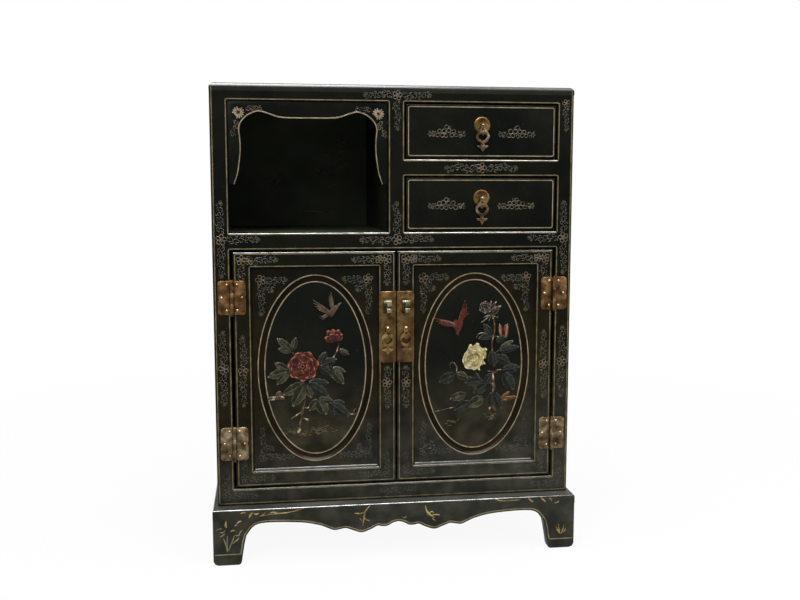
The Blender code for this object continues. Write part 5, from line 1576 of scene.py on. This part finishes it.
for side, sign in SIDES:
    marks = []
    for front, sprays in ((DOOR_FACE, FRAME_SPRAYS), (PANEL_FACE, PANEL_SPRAYS)):
        for x, z, arms, size in sprays:
            turned = [(180 - degrees if sign < 0 else degrees, count) for degrees, count in arms]
            marks += spray(sign * x, z, front, turned, size)
    fit(gather(f"{side}_door_scrolls", marks), f"{side}_door", None)

loop = gather("loop", [ring(0, 0, 0.0046, 0.00055)])
# Loops of a pile: across and up from its middle in millimetres, and a size.
PILE = [(-26, -6, 0.6), (-17.5, -5, 0.8), (-8.5, -5, 0.9), (1, -6, 0.8), (10, -5, 0.9), (18.5, -5, 0.8), (27, -6, 0.6)]
PILE += [(-13, 2.5, 0.9), (-4, 3, 0.95), (6, 2.5, 0.95), (14.5, 2, 0.8), (1, 10, 0.8), (-5, 9, 0.5)]
for name, height in (("upper", 0.8315), ("lower", 0.6935)):
    marks = []
    for x, sign in ((0.0985, -1), (0.237, 1)):
        for across, up, size in PILE:
            at = around((x + sign * across * MM, height + up * MM), chance.uniform(0, 0.0011), chance.uniform(0, 360))
            marks.append(mark(loop, *at, DRAWER_FACE, 0, size * chance.uniform(0.82, 1.08)))
        for way in (-1, 1):
            marks.append(mark(scroll, x + way * 0.021, height - 0.002, DRAWER_FACE, 90 - 90 * way, 0.66, way > 0))
    fit(gather(f"{name}_drawer_scrolls", marks), f"{name}_drawer", gilt_ring)

# %% [markdown]
# ## The arch's line, its rosettes and the niche's painting
# A thick cream line follows the fret's edge, so the edge's own points are moved sideways and brushed. In the upper
# corners sits a chrysanthemum of narrow petals. At the back of the niche a bird over leaves has almost faded away,
# and a band of faint painted grass lies under the carvings on the doors.

# %% Arch line, rosettes and niche painting
def beside(points, gap):
    """The same line, moved sideways by a gap, to the left of its direction."""
    moved = []
    for k, point in enumerate(points):
        way = Vector(points[min(k + 1, len(points) - 1)]) - Vector(points[max(k - 1, 0)])
        side = Vector((-way.y, way.x)).normalized()
        moved.append(tuple(Vector(point) + side * gap))
    return moved


ROSETTES, ROSETTE_Z, PETALS, WORN_PETALS = ((-1, -0.2976), (1, -0.0343)), 0.8652, 14, (3, 8, 9)
# Scrolls beside a rosette: outwards, height, direction, what the side adds to it, size, and the side that is flipped.
ARCH_SCROLLS = [
    (0.004, 0.852, 268, 0, 0.7, 1), (0.0105, 0.836, 272, 0, 0.62, -1),
    (-0.013, 0.873, 90, 94, 0.7, 1), (-0.028, 0.8735, 90, 88, 0.66, -1),
]
strokes = [brush(beside(arch_edge, 0.002), 0.00115, FRET_FACE, 0.35, 0.7, sides=2)]
hearts, marks = [], []
for sign, x in ROSETTES:
    for k in range(PETALS):
        worn = 0.72 if k in WORN_PETALS else 1.0
        petal = [around((x, ROSETTE_Z), reach * worn, k * 360 / PETALS) for reach in (0.0037, 0.0082, 0.0112)]
        strokes.append(brush(petal, 0.00145, FRET_FACE, 0.5, 0.5, sides=0))
    hearts += [mark(loop, x, ROSETTE_Z, FRET_FACE - 0.0002, 0, size) for size in (0.3, 0.7)]
    for out, z, degrees, swing, size, flipped in ARCH_SCROLLS:
        marks.append(mark(scroll, x + sign * out, z, FRET_FACE, degrees + sign * swing, size, sign == flipped))
fit(gather("arch_line", strokes), "case", cream_line)
fit(gather("rosette_hearts", hearts), "case", heart_paint)
fit(gather("arch_scrolls", marks), "case", gilt_ring)

BACK_FACE = 0.201
NICHE_STROKES = [
    [(-0.257, 0.735), (-0.238, 0.742), (-0.22, 0.744), (-0.209, 0.752)],
    [(-0.234, 0.743), (-0.226, 0.758), (-0.203, 0.767)], [(-0.228, 0.742), (-0.222, 0.728), (-0.2, 0.722)],
    [(-0.24, 0.741), (-0.228, 0.736), (-0.212, 0.748)],
    [(-0.112, 0.698), (-0.103, 0.735), (-0.09, 0.775), (-0.076, 0.824)],
    [(-0.1, 0.748), (-0.118, 0.762), (-0.132, 0.758)], [(-0.095, 0.762), (-0.08, 0.774), (-0.062, 0.77)],
    [(-0.088, 0.785), (-0.104, 0.8), (-0.118, 0.799)], [(-0.105, 0.728), (-0.088, 0.734), (-0.072, 0.727)],
    [(-0.082, 0.804), (-0.066, 0.812), (-0.056, 0.806)],
    [(-0.19, 0.668), (-0.15, 0.674), (-0.11, 0.67), (-0.08, 0.676)],
]
strokes = [brush(flow(points, 4), 0.0011, BACK_FACE, 0.4, 0.3, sides=0) for points in NICHE_STROKES]
for x, z, size in ((-0.074, 0.832, 1.2), (-0.128, 0.765, 0.9), (-0.06, 0.775, 0.9)):
    strokes.append(mark(blossom, x, z, BACK_FACE, 10, size))
fit(gather("niche_painting", strokes), "case", faint_paint)

GROUND = {
    "left": [(-48, -126, 16), (-24, -130, 16), (6, -127, 16), (24, -124, 8)],
    "right": [(-44, -120, 14), (33, -111, 12)],
}
for side, tufts in GROUND.items():
    strokes = []
    for x, z, count in tufts:
        for k in range(count):
            foot = (x + chance.uniform(-12, 12), z + chance.uniform(-6, 5))
            reach, lean = chance.uniform(4, 14), chance.choice((-1, 1)) * chance.uniform(45, 85)
            bend, tip = around(foot, 0.6 * reach, 90 + lean * 0.8), around(foot, reach, 90 + lean)
            strokes.append(twig(side, [foot, bend, tip], 0.6, 0.3))
    fit(gather(f"{side}_painted_grass", strokes), f"{side}_door", faint_paint)

# %% [markdown]
# ## Gold on the base
# A gold line follows the aprons' lower edges and crosses each foot near the floor, and orchid grass is brushed over
# the feet and the scallops. The line is the board's own outline moved a few millimetres in; each leaf of grass is
# one stroke, thick in the middle and thin at its ends.

# %% Gold on the base
line_half = [p for p in FRONT_HALF_EDGE if p[1] > 0.018 and p[0] < 0.313]
edge_line = beside(both_halves(line_half), 0.0042)
strokes = [brush(edge_line, 0.001, BASE_FRONT, 0.4)]
for sign, height in ((-1, 0.022), (1, 0.0195)):
    across_foot = [(sign * x, height) for x in (0.3088, 0.332, 0.3568)]
    strokes.append(brush(across_foot, 0.001, BASE_FRONT, 0.4))
fit(gather("base_line", strokes), "case", pale_line)

# Strokes as points and a thickness in millimetres.
GRASS = [
    ([(-0.3335, 0.0755), (-0.3355, 0.081), (-0.3345, 0.0885)], 1.8),
    ([(-0.3265, 0.067), (-0.323, 0.0695), (-0.3185, 0.069)], 1.4),
    ([(-0.314, 0.083), (-0.309, 0.087), (-0.305, 0.0875)], 1.5),
    ([(-0.291, 0.093), (-0.288, 0.099), (-0.284, 0.104)], 2.0),
    ([(-0.296, 0.1035), (-0.301, 0.1045), (-0.307, 0.1025)], 1.2),
    ([(-0.282, 0.1015), (-0.277, 0.1), (-0.272, 0.102)], 1.3),
    ([(-0.2705, 0.0955), (-0.263, 0.0985), (-0.2585, 0.104)], 1.2),
    ([(-0.27, 0.0955), (-0.245, 0.099), (-0.215, 0.1005), (-0.185, 0.1075)], 1.2),
    ([(-0.252, 0.1), (-0.245, 0.1025), (-0.236, 0.1015)], 1.0),
    ([(-0.0705, 0.066), (-0.0685, 0.081), (-0.0655, 0.095), (-0.0565, 0.107)], 1.7),
    ([(-0.0865, 0.093), (-0.0765, 0.0915), (-0.0655, 0.0945)], 1.3),
    ([(-0.068, 0.084), (-0.063, 0.078), (-0.057, 0.0765)], 1.0),
    ([(-0.072, 0.075), (-0.076, 0.082), (-0.0755, 0.089)], 0.9),
    ([(0.0535, 0.102), (0.057, 0.09), (0.064, 0.082), (0.0725, 0.0755)], 1.7),
    ([(0.0585, 0.0825), (0.066, 0.0885), (0.0715, 0.086)], 1.1),
    ([(0.064, 0.081), (0.074, 0.082), (0.0835, 0.081)], 1.2),
    ([(0.0665, 0.078), (0.0705, 0.072), (0.075, 0.07)], 1.3),
    ([(0.0075, 0.081), (0.012, 0.0785), (0.0165, 0.082)], 0.9),
    ([(0.196, 0.1075), (0.212, 0.1035), (0.248, 0.1045)], 1.0),
    ([(0.263, 0.1085), (0.268, 0.102), (0.274, 0.0985)], 1.6),
    ([(0.289, 0.1085), (0.294, 0.1025), (0.3, 0.0975)], 1.8),
    ([(0.306, 0.104), (0.311, 0.103), (0.3125, 0.098)], 1.1),
    ([(0.318, 0.094), (0.3235, 0.0955), (0.328, 0.098)], 0.9),
    ([(0.331, 0.029), (0.325, 0.038), (0.3215, 0.047)], 1.2),
    ([(0.331, 0.029), (0.328, 0.04), (0.3275, 0.05)], 1.3),
    ([(0.3315, 0.029), (0.337, 0.04), (0.339, 0.05)], 1.2),
    ([(0.332, 0.029), (0.34, 0.036), (0.342, 0.041)], 1.0),
]
ORCHID = [
    ([(-0.333, 0.0275), (-0.336, 0.042), (-0.34, 0.055)], 0.9),
    ([(-0.3468, 0.058), (-0.3414, 0.0607), (-0.3366, 0.0646)], 1.3),
    ([(-0.332, 0.028), (-0.3335, 0.043), (-0.332, 0.06)], 0.7),
    ([(-0.331, 0.029), (-0.3263, 0.0417), (-0.3202, 0.056), (-0.3186, 0.061)], 0.9),
    ([(-0.3237, 0.043), (-0.3153, 0.0496), (-0.3099, 0.0548)], 1.3),
    ([(-0.3173, 0.06), (-0.3136, 0.0587), (-0.3082, 0.0613)], 1.0),
    ([(-0.3115, 0.0605), (-0.3075, 0.066), (-0.304, 0.0705)], 0.9),
    ([(-0.3545, 0.071), (-0.3478, 0.0737), (-0.3425, 0.0744)], 1.1),
    ([(-0.3469, 0.0666), (-0.3404, 0.0666), (-0.3361, 0.0718)], 1.0),
    ([(-0.3187, 0.0783), (-0.316, 0.0799), (-0.3134, 0.0809)], 1.1),
]
for name, leaves, colour in (("base_grass", GRASS, leaf_gold), ("foot_orchid", ORCHID, orchid_paint)):
    strokes = [brush(flow(points, 4), thick * MM, BASE_FRONT, 0.4, 0.25, sides=0) for points, thick in leaves]
    fit(gather(name, strokes), "case", colour)
for model in (blossom, scroll, loop):
    bpy.data.objects.remove(model)

# %% [markdown]
# ## Measure
# Both boxes are printed: the CAD model's and the dressed cabinet's. The dressed cabinet has to stay within the
# CAD model's box.

# %% Measure
DRESSED_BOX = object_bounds()
for title, (low, high) in (("CAD box", CAD_BOX), ("dressed", DRESSED_BOX)):
    print(title, [round(v, 4) for v in high - low])
